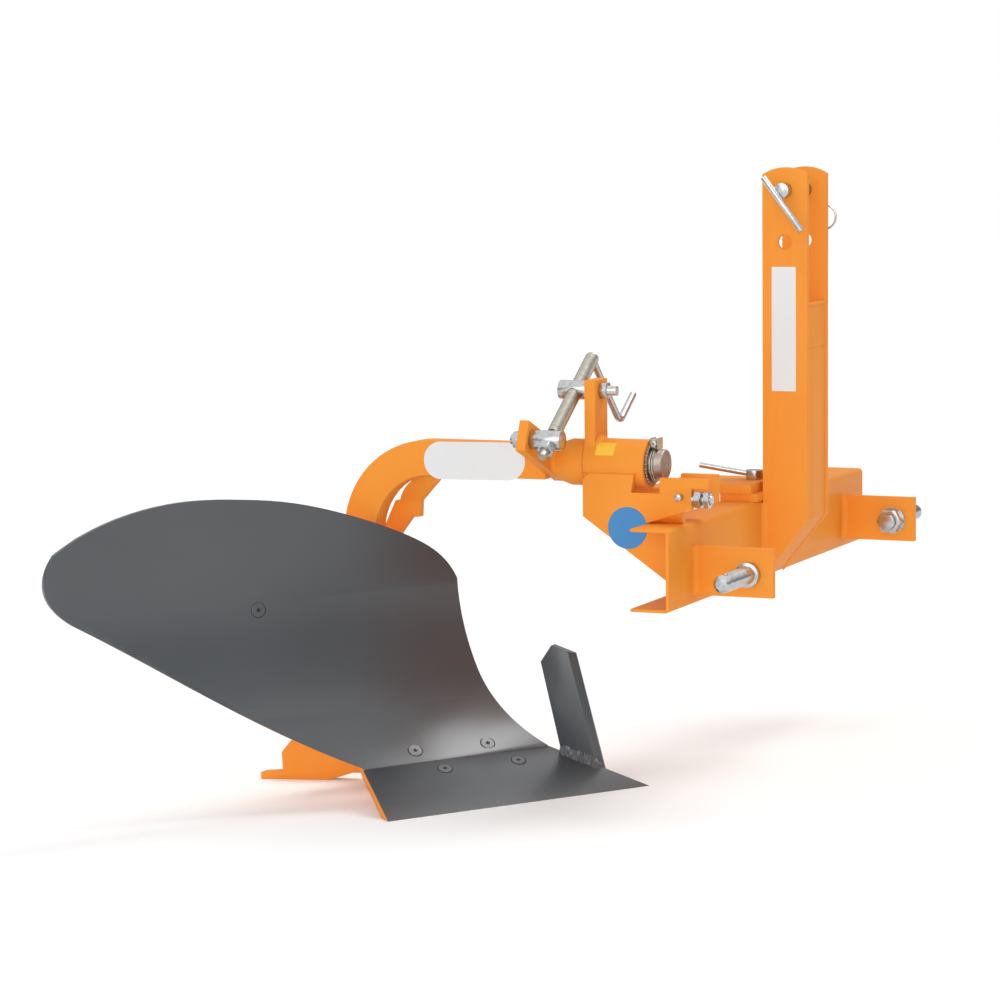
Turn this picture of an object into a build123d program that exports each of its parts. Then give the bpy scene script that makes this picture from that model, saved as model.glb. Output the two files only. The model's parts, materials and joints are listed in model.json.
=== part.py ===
from build123d import *
import os
from math import asin, cos, degrees, radians, sin

os.makedirs("parts", exist_ok=True)

# Stance: the hitch pins above the floor, and how far the headstock leans forward
hitch_x = 376.5
hitch_y = 118.9
hitch_z = 271.5
lean = 3.1

# Cross channel
channel_length = 757.0
channel_height = 100.0
channel_depth = 50.0
channel_web = 4.5
channel_flange = 4.0
channel_front = -71.0
channel_bottom = -40.0
channel_corner = 6.0

# Mast
mast_width = 60.0
mast_plate = 7.0
mast_outer = 84.0
mast_hole_x = -41.0
mast_hole_z = 454.0
mast_second_hole_z = 389.0
mast_top = 483.0
mast_crown = 9.0
mast_foot = 36.0
link_hole = 19.2
web_plate = 4.0
web_top = 310.0

# Lugs and lower hitch pins
lug_length = 102.0
lug_height = 60.0
lug_plate = 8.0
lug_inset = 83.0
lug_bottom = -28.0
pin_d = 22.0
pin_reach = 97.0
pin_thread_d = 20.0
pin_thread_reach = 34.0
collar_d = 30.0
collar_length = 9.0
linch_hole = 7.0
nut_width = 30.0
nut_height = 16.0
washer_d = 36.0
washer_t = 3.0

# Top link pin
link_pin_d = 19.0
link_pin_end = 14.0
handle_d = 8.0
handle_length = 84.0
handle_lean = 37.0
handle_set = 8.0
linch_wire = 3.0
linch_ring = 34.0

# Barrel and shaft
axis_y = -292.0
axis_z = 129.0
tube_d = 60.0
tube_rear = -205.0
tube_length = 79.0
shaft_d = 37.0
shaft_clearance = 0.06
shaft_nose = 20.0
boss_d = 57.0
boss_length = 42.0
boss_cone = 20.0
end_float = 0.8
ring_washer = 3.0
ring_washer_d = 52.0
band_t = 2.5
band_width = 9.0
band_gap = 3.0
band_block = 12.0

# Carrier: side plates, arm plate and clamp screw
side_plate = 10.0
side_rear = -203.0
side_top = 119.0
slot_mouth = 19.0
tongue_plate = 12.0
tongue_bottom = 70.0
tongue_rear = -197.0
tongue_front = -78.0
tongue_starboard = 67.0
tongue_port = 32.0
arm_width = 50.0
pad_starboard = 64.0
pad_port = 30.0
clamp_d = 16.0
clamp_x = -97.0
clamp_head = 22.0
clamp_head_height = 12.0
clamp_bar_d = 7.0
clamp_bar_length = 84.0
clamp_bar_rise = 0.18

# Screw adjuster
post_t = 14.0
post_width = 41.0
post_front = -191.0
post_top = 231.0
pivot_radius = 88.0
pivot_angle = 157.7
trunnion_d = 24.0
trunnion_length = 38.0
stud_d = 12.0
stud_clearance = 0.06
open_clearance = 1.2
rod_d = 18.0
rod_end_d = 12.0
rod_nut_width = 19.0
rod_nut_height = 10.0
rod_clearance = 0.08
rod_x = -224.0
rod_above = 70.0
rod_below = 32.0
crank_d = 9.0
crank_set = 13.0
crank_throw = 92.0
grip_length = 56.0
arm_plate = 12.0
arm_plate_width = 38.0
arm_overhang = 18.0
trunnion_nut = 19.0
trunnion_nut_height = 9.0

# Beam
beam_depth = 44.0
beam_width = 30.0
bend_x = -417.0
bend_radius = 97.0
bend_turn = 82.0
leg_length = 300.0
knee_t = 10.0
knee_bend = 68.2
knee_reach = 30.0

# Share and mouldboard
tip_x = -167.0
landside_y = -235.0
cut_angle = 47.1
share_length = 351.0
share_width = 110.0
share_rise = 26.5
share_t = 12.0
share_wing_rake = 10.0
board_t = 9.5
board_length = 713.0
board_top = 392.0
board_start = 36.3
board_radius = 180.0
board_turn = 38.8
upper_radius = 450.0
upper_turn = 36.0
seam_gap = 0.3

# Landside and frog
landside_t = 18.0
landside_rear = -716.0
landside_height = 52.0
landside_front = -330.0
heel_step = 33.0
heel_foot = 9.0
toe_lift = 14.0
frog_t = 16.0
frog_to = 335.0
frog_under_share = 50.0
frog_side = 10.0
frog_rear = -560.0
frog_top = 132.0
block_x = -528.0
block_z = 68.0
block_width = 60.0
block_height = 100.0
stay_width = 40.0
stay_t = 14.0
stay_s = 436.0
stay_z = 250.0

# Fin
fin_top = 177.0
fin_t = 12.0
fin_foot = 62.0
fin_length = 55.0
fin_rake = 32.0
fin_bevel = 7.0

# Larger than any plate that is trimmed by it
cut_reach = 2000.0

lean_cos = cos(radians(lean))
lean_sin = sin(radians(lean))
hitch = Vector(hitch_x, hitch_y, hitch_z)
fwd = Vector(lean_cos, 0, -lean_sin)
port = Vector(0, 1, 0)
rise = Vector(lean_sin, 0, lean_cos)


def head(x, y, z):
    """A point in the leaning headstock, from the middle of the hitch axis."""
    return hitch + fwd * x + port * y + rise * z


def head_side(y):
    """Upright lengthwise plane at y, seen from starboard: forward and up."""
    return Plane(origin=head(0, y, 0), x_dir=fwd, z_dir=-port)


def head_front(x):
    """Upright crosswise plane at x, facing forward: port and up."""
    return Plane(origin=head(x, 0, 0), x_dir=port, z_dir=fwd)


def head_top(z):
    """Level plane of the headstock at z: forward and port."""
    return Plane(origin=head(0, 0, z), x_dir=fwd, z_dir=rise)


def floor_side(y):
    """Upright lengthwise plane that stands on the floor."""
    return Plane(origin=(hitch_x, hitch_y + y, 0), x_dir=(1, 0, 0), z_dir=(0, -1, 0))


# Cross channel: a rolled C, open to the rear
channel_end = channel_length / 2
channel_top = channel_bottom + channel_height
with BuildPart() as cross_channel:
    with BuildSketch(head_side(channel_end)):
        with BuildLine():
            Polyline(
                (channel_front, channel_bottom),
                (channel_front, channel_top),
                (channel_front - channel_depth, channel_top),
                (channel_front - channel_depth, channel_top - channel_flange),
                (channel_front - channel_web, channel_top - channel_flange),
                (channel_front - channel_web, channel_bottom + channel_flange),
                (channel_front - channel_depth, channel_bottom + channel_flange),
                (channel_front - channel_depth, channel_bottom),
                close=True,
            )
        make_face()
    extrude(amount=channel_length)
    fillet(edges().filter_by(Axis.Y).sort_by(Axis(hitch, fwd))[-2:], channel_corner)
cross_channel.part.label = "cross_channel"

# Mast plates: flat bars on the face of the channel, with the link holes
mast_rear = channel_front
mast_front = mast_rear + mast_width
mast_in = mast_outer / 2 - mast_plate


with BuildSketch() as mast_outline:
    with BuildLine():
        foot_low = Line((mast_rear, channel_bottom), (mast_front, mast_foot))
        Line(foot_low @ 1, (mast_front, mast_top - mast_crown))
        ThreePointArc(
            (mast_front, mast_top - mast_crown),
            (mast_rear + mast_width / 2, mast_top),
            (mast_rear, mast_top - mast_crown),
        )
        Line((mast_rear, mast_top - mast_crown), foot_low @ 0)
    make_face()
    with Locations((mast_hole_x, mast_hole_z), (mast_hole_x, mast_second_hole_z)):
        Circle(link_hole / 2, mode=Mode.SUBTRACT)

with BuildPart() as mast_plate_starboard:
    with BuildSketch(head_side(-mast_in)):
        add(mast_outline.sketch)
    extrude(amount=mast_plate)
mast_plate_starboard.part.label = "mast_plate_starboard"

with BuildPart() as mast_plate_port:
    with BuildSketch(head_side(mast_outer / 2)):
        add(mast_outline.sketch)
    extrude(amount=mast_plate)
mast_plate_port.part.label = "mast_plate_port"

# Front web: closes the mast below the link and folds back under it
with BuildPart() as mast_web:
    with BuildSketch(head_side(mast_in)):
        with BuildLine():
            Polyline(
                (mast_front - web_plate, web_top),
                (mast_front - 2, web_top),
                (mast_front - 2, mast_foot),
                (mast_rear, channel_bottom + 2.6),
                (mast_rear, channel_bottom + 12),
                (mast_front - web_plate, mast_foot + 4),
                close=True,
            )
        make_face()
    extrude(amount=2 * mast_in)
mast_web.part.label = "mast_web"

# Lugs for the lower hitch pins
lug_outer = channel_length - 2 * lug_inset
lug_x = channel_front + lug_length / 2
lug_z = lug_bottom + lug_height / 2


with BuildSketch() as lug_outline:
    with Locations((lug_x, lug_z)):
        Rectangle(lug_length, lug_height)
    Circle(pin_thread_d / 2, mode=Mode.SUBTRACT)

with BuildPart() as lug_starboard:
    with BuildSketch(head_side(-lug_outer / 2 + lug_plate)):
        add(lug_outline.sketch)
    extrude(amount=lug_plate)
lug_starboard.part.label = "lug_starboard"

with BuildPart() as lug_port:
    with BuildSketch(head_side(lug_outer / 2)):
        add(lug_outline.sketch)
    extrude(amount=lug_plate)
lug_port.part.label = "lug_port"

# Lower hitch pins: shouldered studs, outward, with a cross hole for the linch pin
with BuildPart() as hitch_pin_starboard:
    with BuildSketch(head_side(-lug_outer / 2)):
        Circle(collar_d / 2)
    extrude(amount=collar_length)
    with BuildSketch(head_side(-lug_outer / 2)):
        Circle(pin_d / 2)
    extrude(amount=pin_reach)
    chamfer(faces().sort_by(Axis.Y)[0].edges(), 4)
    with BuildSketch(head_side(-lug_outer / 2 + pin_thread_reach)):
        Circle(pin_thread_d / 2)
    extrude(amount=pin_thread_reach)
    with BuildSketch(head_top(-pin_d)):
        with Locations((0, -lug_outer / 2 - pin_reach + 14)):
            Circle(linch_hole / 2)
    extrude(amount=2 * pin_d, mode=Mode.SUBTRACT)
hitch_pin_starboard.part.label = "hitch_pin_starboard"

with BuildPart() as hitch_pin_port:
    with BuildSketch(head_side(lug_outer / 2 + collar_length)):
        Circle(collar_d / 2)
    extrude(amount=collar_length)
    with BuildSketch(head_side(lug_outer / 2 + pin_reach)):
        Circle(pin_d / 2)
    extrude(amount=pin_reach)
    chamfer(faces().sort_by(Axis.Y)[-1].edges(), 4)
    with BuildSketch(head_side(lug_outer / 2)):
        Circle(pin_thread_d / 2)
    extrude(amount=pin_thread_reach)
    with BuildSketch(head_top(-pin_d)):
        with Locations((0, lug_outer / 2 + pin_reach - 14)):
            Circle(linch_hole / 2)
    extrude(amount=2 * pin_d, mode=Mode.SUBTRACT)
hitch_pin_port.part.label = "hitch_pin_port"

with BuildPart() as hitch_nut_starboard:
    with BuildSketch(head_side(-lug_outer / 2 + lug_plate + washer_t)):
        Circle(washer_d / 2)
        Circle(pin_thread_d / 2, mode=Mode.SUBTRACT)
    extrude(amount=washer_t)
    with BuildSketch(head_side(-lug_outer / 2 + lug_plate + washer_t + nut_height)):
        RegularPolygon(nut_width / 2, 6, major_radius=False)
        Circle(pin_thread_d / 2, mode=Mode.SUBTRACT)
    extrude(amount=nut_height)
hitch_nut_starboard.part.label = "hitch_nut_starboard"

with BuildPart() as hitch_nut_port:
    with BuildSketch(head_side(lug_outer / 2 - lug_plate)):
        Circle(washer_d / 2)
        Circle(pin_thread_d / 2, mode=Mode.SUBTRACT)
    extrude(amount=washer_t)
    with BuildSketch(head_side(lug_outer / 2 - lug_plate - washer_t)):
        RegularPolygon(nut_width / 2, 6, major_radius=False)
        Circle(pin_thread_d / 2, mode=Mode.SUBTRACT)
    extrude(amount=nut_height)
hitch_nut_port.part.label = "hitch_nut_port"

# Top link pin, put in from starboard, with its tee handle
handle_up = rise * cos(radians(handle_lean)) - fwd * sin(radians(handle_lean))
handle_off = -fwd * cos(radians(handle_lean)) - rise * sin(radians(handle_lean))
handle_y = -mast_outer / 2 - link_pin_end - handle_d / 2 + 0.5
handle_plane = Plane(
    origin=head(mast_hole_x, handle_y, mast_hole_z) + handle_off * handle_set,
    x_dir=-port,
    z_dir=handle_up,
)
with BuildPart() as top_link_pin:
    with BuildSketch(head_side(mast_outer / 2 + 18)):
        with Locations((mast_hole_x, mast_hole_z)):
            Circle(link_pin_d / 2)
    extrude(amount=mast_outer + 18 + link_pin_end)
    with BuildSketch(handle_plane.offset(-handle_length * 0.68)):
        Circle(handle_d / 2)
    extrude(amount=handle_length)
    with BuildSketch(head_top(mast_hole_z - link_pin_d)):
        with Locations((mast_hole_x, mast_outer / 2 + 9)):
            Circle(linch_wire)
    extrude(amount=2 * link_pin_d, mode=Mode.SUBTRACT)
top_link_pin.part.label = "top_link_pin"

# Linch pin through the far end of the top link pin, with its spring ring
with BuildPart() as linch_pin:
    with BuildSketch(head_top(mast_hole_z - link_pin_d + 2)):
        with Locations((mast_hole_x, mast_outer / 2 + 9)):
            Circle(linch_wire - 0.1)
    extrude(amount=2 * link_pin_d - 4)
    with BuildSketch(head_top(mast_hole_z + link_pin_d - 4)):
        with Locations((mast_hole_x, mast_outer / 2 + 9)):
            Circle(5)
    extrude(amount=7)
linch_pin.part.label = "linch_pin"

# Barrel tube that the beam turns in
bore_r = shaft_d / 2 + shaft_clearance
with BuildPart() as barrel_tube:
    with BuildSketch(head_front(tube_rear)):
        with Locations((axis_y, axis_z)):
            Circle(tube_d / 2)
            Circle(bore_r, mode=Mode.SUBTRACT)
    extrude(amount=tube_length)
barrel_tube.part.label = "barrel_tube"

# Side plate under the near side of the tube, slotted over the channel flange
plate_out = axis_y - tube_d / 2 - 3
flange_rear = channel_front - channel_depth
slot_gap = 0.2
with BuildPart() as side_plate_starboard:
    with BuildSketch(head_side(plate_out + side_plate)):
        with BuildLine():
            Polyline(
                (side_rear, 66),
                (side_rear, side_top - 8),
                (side_rear + 8, side_top),
                (tube_rear + tube_length - 10, side_top),
                (tube_rear + tube_length - 14, 97),
                (-103, 97),
                (-103, 116),
                (-40, 116),
                (-40, 104),
                (-62, 104),
                (-62, channel_top + slot_mouth),
                (flange_rear - slot_gap, channel_top + slot_gap),
                (flange_rear - slot_gap, channel_top - channel_flange - slot_gap),
                (channel_front - channel_web - slot_gap, channel_top - channel_flange - slot_gap),
                (channel_front - channel_web - slot_gap, -22),
                close=True,
            )
        make_face()
    extrude(amount=side_plate)
    with BuildSketch(head_front(side_rear - 1)):
        with Locations((axis_y, axis_z)):
            Circle(tube_d / 2 + slot_gap)
    extrude(amount=tube_length + 3, mode=Mode.SUBTRACT)
side_plate_starboard.part.label = "side_plate_starboard"

# Side plate on the port side of the tube, standing on the arm plate
with BuildPart() as side_plate_port:
    with BuildSketch(head_side(axis_y + tube_d / 2 + 3)):
        with BuildLine():
            Polyline(
                (side_rear, tongue_bottom + tongue_plate),
                (side_rear, side_top - 8),
                (side_rear + 8, side_top),
                (tube_rear + tube_length - 10, side_top),
                (tube_rear + tube_length - 14, 97),
                (-97, 97),
                (-97, 116),
                (-50, 116),
                (-50, tongue_bottom + tongue_plate),
                close=True,
            )
        make_face()
    extrude(amount=side_plate)
    with BuildSketch(head_front(side_rear - 1)):
        with Locations((axis_y, axis_z)):
            Circle(tube_d / 2 + slot_gap)
    extrude(amount=tube_length + 3, mode=Mode.SUBTRACT)
side_plate_port.part.label = "side_plate_port"

# Arm plate from the side plate to the clamp on the middle of the channel
plate_in = plate_out + side_plate
with BuildPart() as arm_plate_node:
    with BuildSketch(head_top(tongue_bottom)):
        with Locations(((tongue_rear + tongue_front) / 2, (tongue_port - tongue_starboard) / 2)):
            Rectangle(tongue_front - tongue_rear, tongue_port + tongue_starboard)
        with Locations((tongue_rear + arm_width / 2, (plate_in + 0.2) / 2)):
            Rectangle(arm_width, -plate_in - 0.2)
        with Locations((clamp_x, 0)):
            Circle(clamp_d / 2, mode=Mode.SUBTRACT)
    extrude(amount=tongue_plate)
    with BuildSketch(head_top(channel_top)):
        with Locations(((flange_rear + channel_front) / 2, (pad_port - pad_starboard) / 2)):
            Rectangle(channel_depth, pad_port + pad_starboard)
        with Locations((clamp_x, 0)):
            Circle(clamp_d / 2, mode=Mode.SUBTRACT)
    extrude(amount=tongue_bottom - channel_top)
arm_plate_node.part.label = "arm_plate"

# Clamp screw with its bar, on the middle of the arm plate
clamp_seat = tongue_bottom + tongue_plate
clamp_bar_plane = Plane(
    origin=head(clamp_x, 0, clamp_seat + clamp_head_height / 2),
    x_dir=rise,
    z_dir=(-fwd * cos(radians(18)) - port * sin(radians(18)) + rise * clamp_bar_rise),
)
with BuildPart() as clamp_screw:
    with BuildSketch(head_top(clamp_seat)):
        with Locations((clamp_x, 0)):
            Circle(clamp_head / 2)
    extrude(amount=clamp_head_height)
    with BuildSketch(head_top(channel_top + 0.5)):
        with Locations((clamp_x, 0)):
            Circle(clamp_d / 2)
    extrude(amount=clamp_seat - channel_top)
    with BuildSketch(clamp_bar_plane.offset(-12)):
        Circle(clamp_bar_d / 2)
    extrude(amount=clamp_bar_length)
clamp_screw.part.label = "clamp_screw"

# Post on the tube that carries the screw
pivot_z = axis_z + pivot_radius
with BuildPart() as screw_post:
    with BuildSketch(head_front(post_front - post_t)):
        with Locations((axis_y, (axis_z + post_top) / 2)):
            Rectangle(post_width, post_top - axis_z)
        with Locations((axis_y, axis_z)):
            Circle(tube_d / 2, mode=Mode.SUBTRACT)
        with Locations((axis_y, pivot_z)):
            Circle(stud_d / 2 + stud_clearance, mode=Mode.SUBTRACT)
    extrude(amount=post_t)
    # Only what stands above the tube is kept
    with BuildSketch(head_front(post_front - post_t - 1)):
        with Locations((axis_y, axis_z + 4)):
            Rectangle(post_width + 20, 30)
    extrude(amount=post_t + 2, mode=Mode.SUBTRACT)
screw_post.part.label = "screw_post"

# Shaft of the beam, through the barrel, with the boss behind it
boss_front = tube_rear - end_float
boss_rear = boss_front - boss_length
shaft_front = tube_rear + tube_length + shaft_nose
with BuildPart() as beam_shaft:
    with BuildSketch(head_side(axis_y)):
        with BuildLine():
            Polyline(
                (boss_rear, axis_z),
                (boss_rear, axis_z + beam_depth / 2),
                (boss_rear + boss_cone, axis_z + boss_d / 2),
                (boss_front, axis_z + boss_d / 2),
                (boss_front, axis_z + shaft_d / 2),
                (shaft_front - 1.5, axis_z + shaft_d / 2),
                (shaft_front, axis_z + shaft_d / 2 - 1.5),
                (shaft_front, axis_z + 2),
                (shaft_front - 4, axis_z),
                close=True,
            )
        make_face()
    revolve(axis=Axis(head(0, axis_y, axis_z), fwd))
beam_shaft.part.label = "beam_shaft"

# Thrust washer, and the screw clamp that keeps the shaft in the tube
washer_rear = tube_rear + tube_length + end_float
with BuildPart() as thrust_washer:
    with BuildSketch(head_front(washer_rear)):
        with Locations((axis_y, axis_z)):
            Circle(ring_washer_d / 2)
            Circle(shaft_d / 2, mode=Mode.SUBTRACT)
    extrude(amount=ring_washer)
thrust_washer.part.label = "thrust_washer"

with BuildPart() as retaining_clamp:
    with BuildSketch(head_front(washer_rear + ring_washer)):
        with Locations((axis_y, axis_z)):
            Circle(shaft_d / 2 + band_t)
            Circle(shaft_d / 2, mode=Mode.SUBTRACT)
        with Locations((axis_y, axis_z + shaft_d / 2 + band_block / 2)):
            Rectangle(20, band_block)
        with Locations((axis_y, axis_z)):
            Circle(shaft_d / 2, mode=Mode.SUBTRACT)
    extrude(amount=band_width)
retaining_clamp.part.label = "retaining_clamp"

# Screw arm: a flat bar across the end of the beam, out to the lower trunnion
low_dy = pivot_radius * cos(radians(pivot_angle))
low_dz = pivot_radius * sin(radians(pivot_angle))
low_y = axis_y + low_dy
low_z = axis_z + low_dz
arm_front = boss_rear
arm_rear = arm_front - arm_plate
with BuildPart() as screw_arm:
    with BuildSketch(head_front(arm_rear)):
        with Locations(Location((axis_y + low_dy / 2, axis_z + low_dz / 2), pivot_angle)):
            with Locations(((arm_overhang - beam_depth / 2) / 2, 0)):
                Rectangle(pivot_radius + arm_overhang + beam_depth / 2, arm_plate_width)
        with Locations((low_y, low_z)):
            Circle(stud_d / 2 + open_clearance, mode=Mode.SUBTRACT)
    extrude(amount=arm_plate)
screw_arm.part.label = "screw_arm"

# Beam: a bar that runs back, bends down and becomes the leg
beam_y = axis_y + beam_width / 2
bend_z = axis_z - bend_radius
with BuildPart() as beam:
    with BuildSketch(head_side(beam_y)):
        with BuildLine():
            run = Line((arm_rear, axis_z), (bend_x, axis_z))
            turn = CenterArc((bend_x, bend_z), bend_radius, 90, bend_turn)
            Line(turn @ 1, turn @ 1 + (turn % 1) * leg_length)
        trace(line_width=beam_depth)
    extrude(amount=beam_width)
beam.part.label = "beam"

# Knee plate: upright against the frog, and bent over at its top to meet the beam's underside
leg_port = axis_y + beam_width / 2
knee_y = landside_y - frog_side
beam_under = axis_z - beam_depth / 2
inner_radius = bend_radius - beam_depth / 2
knee_angle = degrees(asin((knee_bend - bend_z) / inner_radius))
knee_rear = bend_x - inner_radius * cos(radians(knee_angle))
with BuildPart() as knee_plate:
    with BuildSketch(head_front(bend_x - bend_radius)):
        with BuildLine():
            Polyline(
                (knee_y, knee_bend),
                (knee_y - knee_t, knee_bend),
                (knee_y - knee_t - knee_reach, beam_under),
                (knee_y - knee_reach, beam_under),
                close=True,
            )
        make_face()
    extrude(amount=bend_radius + 40)
    with BuildSketch(head_side(knee_y + 1)):
        with BuildLine():
            slope = Polyline(
                (bend_x, beam_under),
                (bend_x + 10, beam_under),
                (bend_x - 36, knee_bend),
                (knee_rear, knee_bend),
            )
            CenterArc((bend_x, bend_z), inner_radius, 180 - knee_angle, knee_angle - 90)
        make_face()
    extrude(amount=4 * knee_reach, mode=Mode.INTERSECT)
    with BuildSketch(head_side(knee_y)):
        with BuildLine():
            Polyline(
                (bend_x - 72, knee_bend),
                (bend_x - 36, knee_bend),
                (bend_x - 37, knee_bend - 20),
                (bend_x - 49, knee_bend - 21),
                (bend_x - 65, knee_bend - 42),
                (bend_x - 75, -259),
                (bend_x - 125, -261),
                (bend_x - 104, 0),
                (bend_x - 87, knee_bend - 32),
                close=True,
            )
        make_face()
    extrude(amount=knee_t)
knee_plate.part.label = "knee_plate"

# Upper trunnion: turns in the post, and the screw runs through it
trunnion_front = post_front - post_t - 1.0
rod_up = Vector(0, -low_dy, pivot_radius - low_dz)
rod_span = rod_up.length
rod_dir = port * (-low_dy / rod_span) + rise * ((pivot_radius - low_dz) / rod_span)
upper_pivot = head(rod_x, axis_y, pivot_z)
lower_pivot = head(rod_x, low_y, low_z)
rod_shoulder = rod_below + trunnion_d / 2
rod_foot = Plane(origin=lower_pivot - rod_dir * rod_below, x_dir=fwd, z_dir=rod_dir)
with BuildPart() as upper_trunnion:
    with BuildSketch(head_front(trunnion_front - trunnion_length)):
        with Locations((axis_y, pivot_z)):
            Circle(trunnion_d / 2)
    extrude(amount=trunnion_length)
    with BuildSketch(head_front(trunnion_front)):
        with Locations((axis_y, pivot_z)):
            Circle(stud_d / 2)
    extrude(amount=post_t + 22)
    with BuildSketch(rod_foot):
        Circle(rod_d / 2 + rod_clearance)
    extrude(amount=rod_span + rod_below + rod_above, mode=Mode.SUBTRACT)
    with BuildSketch(head_front(post_front + 0.5)):
        with Locations((axis_y, pivot_z)):
            RegularPolygon(trunnion_nut / 2, 6, major_radius=False)
            Circle(stud_d / 2, mode=Mode.SUBTRACT)
    extrude(amount=trunnion_nut_height)
upper_trunnion.part.label = "upper_trunnion"

# Screw rod with the end nut, and the lower trunnion that it turns in
with BuildPart() as screw_rod:
    with BuildSketch(rod_foot):
        Circle(rod_end_d / 2)
    extrude(amount=rod_shoulder)
    with BuildSketch(rod_foot.offset(rod_shoulder)):
        Circle(rod_d / 2)
    extrude(amount=rod_below + rod_span + rod_above - rod_shoulder)
screw_rod.part.label = "screw_rod"

trunnion_low_rear = arm_front + 1.5
with BuildPart() as lower_trunnion:
    with BuildSketch(head_front(trunnion_low_rear)):
        with Locations((low_y, low_z)):
            Circle(trunnion_d / 2)
    extrude(amount=trunnion_length)
    with BuildSketch(head_front(arm_rear - 15)):
        with Locations((low_y, low_z)):
            Circle(stud_d / 2)
    extrude(amount=trunnion_low_rear - arm_rear + 15)
    with BuildSketch(rod_foot):
        Circle(rod_end_d / 2)
    extrude(amount=rod_span, mode=Mode.SUBTRACT)
    with BuildSketch(head_front(arm_rear - 1.5 - trunnion_nut_height)):
        with Locations((low_y, low_z)):
            RegularPolygon(trunnion_nut / 2, 6, major_radius=False)
            Circle(stud_d / 2, mode=Mode.SUBTRACT)
    extrude(amount=trunnion_nut_height)
lower_trunnion.part.label = "lower_trunnion"

end_nut_plane = Plane(
    origin=lower_pivot - rod_dir * (trunnion_d / 2 + rod_nut_height),
    x_dir=fwd,
    z_dir=rod_dir,
)
with BuildPart() as rod_nut:
    with BuildSketch(end_nut_plane):
        RegularPolygon(rod_nut_width / 2, 6, major_radius=False)
        Circle(rod_end_d / 2, mode=Mode.SUBTRACT)
    extrude(amount=rod_nut_height)
rod_nut.part.label = "rod_nut"

# Crank: square to the rod, with a grip that runs on parallel to it
crank_down = port * ((pivot_radius - low_dz) / rod_span) - rise * (-low_dy / rod_span)
rod_top = lower_pivot + rod_dir * (rod_span + rod_above)
crank_root = rod_top - rod_dir * (crank_d / 2 + 1) + crank_down * (rod_d / 2 + 0.5)
with BuildPart() as crank:
    with BuildLine() as crank_path:
        FilletPolyline(
            crank_root,
            crank_root + crank_down * crank_throw + fwd * crank_set,
            crank_root + crank_down * crank_throw + fwd * crank_set + rod_dir * grip_length,
            radius=10,
        )
    with BuildSketch(Plane(origin=crank_root, x_dir=rod_dir, z_dir=crank_path.line % 0)):
        Circle(crank_d / 2)
    sweep()
crank.part.label = "crank"

# Mouldboard axes: along the cutting edge, and square to it towards the rear
edge_dir = Vector(cos(radians(cut_angle)), sin(radians(cut_angle)), 0)
back_dir = Vector(-sin(radians(cut_angle)), cos(radians(cut_angle)), 0)
tip = Vector(hitch_x + tip_x, hitch_y + landside_y, 0)


def board_section(s):
    """Upright plane square to the cutting edge, s behind the tip along the edge."""
    return Plane(origin=tip - edge_dir * s, x_dir=back_dir, z_dir=edge_dir)


board_front_view = Plane(origin=tip, x_dir=-edge_dir, z_dir=back_dir)
share_q = share_width * cos(radians(share_rise))
share_z = share_width * sin(radians(share_rise))


def on_board(along, up):
    """A point of the board's front view, in parts of its length and height."""
    return (board_length * along, board_top * up)


# Cut that makes the landside edge of share, mouldboard and frog
landside_cut = Plane(origin=(hitch_x, hitch_y + landside_y, 0), x_dir=(1, 0, 0), z_dir=(0, 1, 0))

# Share: a flat blade with a ground edge, lying on the floor at its edge
with BuildPart() as share:
    with BuildSketch(board_section(share_length)):
        with BuildLine():
            Polyline(
                (0, 0),
                (share_q, share_z),
                (
                    share_q + share_t * sin(radians(share_rise)),
                    share_z - share_t * cos(radians(share_rise)),
                ),
                (share_t / sin(radians(share_rise)), 0),
                close=True,
            )
        make_face()
    extrude(amount=share_length + share_width)
    with BuildSketch(landside_cut):
        Rectangle(cut_reach, cut_reach)
    extrude(amount=400, mode=Mode.SUBTRACT)
    with BuildSketch(Plane.XY.offset(-1)):
        wing = tip - edge_dir * share_length
        inner = wing + edge_dir * share_wing_rake + back_dir * (share_q + 20)
        outer = inner - edge_dir * 60
        with BuildLine():
            Polyline(
                (wing.X - edge_dir.X * 60, wing.Y - edge_dir.Y * 60),
                (wing.X, wing.Y),
                (inner.X, inner.Y),
                (outer.X, outer.Y),
                close=True,
            )
        make_face()
    extrude(amount=200, mode=Mode.SUBTRACT)
share.part.label = "share"

# Mouldboard: one rolled plate, two tangent radii, trimmed to its outline
with BuildPart() as mouldboard:
    with BuildSketch(board_section(board_length)):
        with BuildLine() as board_line:
            lower = JernArc(
                (share_q, share_z + seam_gap),
                (cos(radians(board_start)), sin(radians(board_start))),
                board_radius,
                board_turn,
            )
            upper = JernArc(lower @ 1, lower % 1, upper_radius, upper_turn)
            offset(amount=board_t, side=Side.RIGHT)
        make_face()
    extrude(amount=board_length)
    with BuildSketch(board_front_view):
        with BuildLine():
            wing_root = (share_length - 11, share_z + seam_gap)
            Polyline(on_board(0.084, 0.638), (board_length * 0.084, wing_root[1]), wing_root)
            Spline(wing_root, on_board(0.589, 0.235), on_board(0.819, 0.505), on_board(0.942, 0.648))
            Spline(on_board(0.942, 0.648), on_board(0.99, 0.778), on_board(0.97, 0.875))
            Line(on_board(0.97, 0.875), on_board(0.842, 0.959))
            Spline(
                on_board(0.842, 0.959),
                on_board(0.776, 0.99),
                on_board(0.703, 1),
                on_board(0.626, 0.992),
                on_board(0.539, 0.967),
                on_board(0.439, 0.913),
                on_board(0.332, 0.832),
                on_board(0.264, 0.75),
                on_board(0.236, 0.673),
            )
            Line(on_board(0.236, 0.673), on_board(0.084, 0.638))
        make_face()
    extrude(amount=300, mode=Mode.INTERSECT)
    with BuildSketch(landside_cut):
        Rectangle(cut_reach, cut_reach)
    extrude(amount=400, mode=Mode.SUBTRACT)
mouldboard.part.label = "mouldboard"

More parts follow.
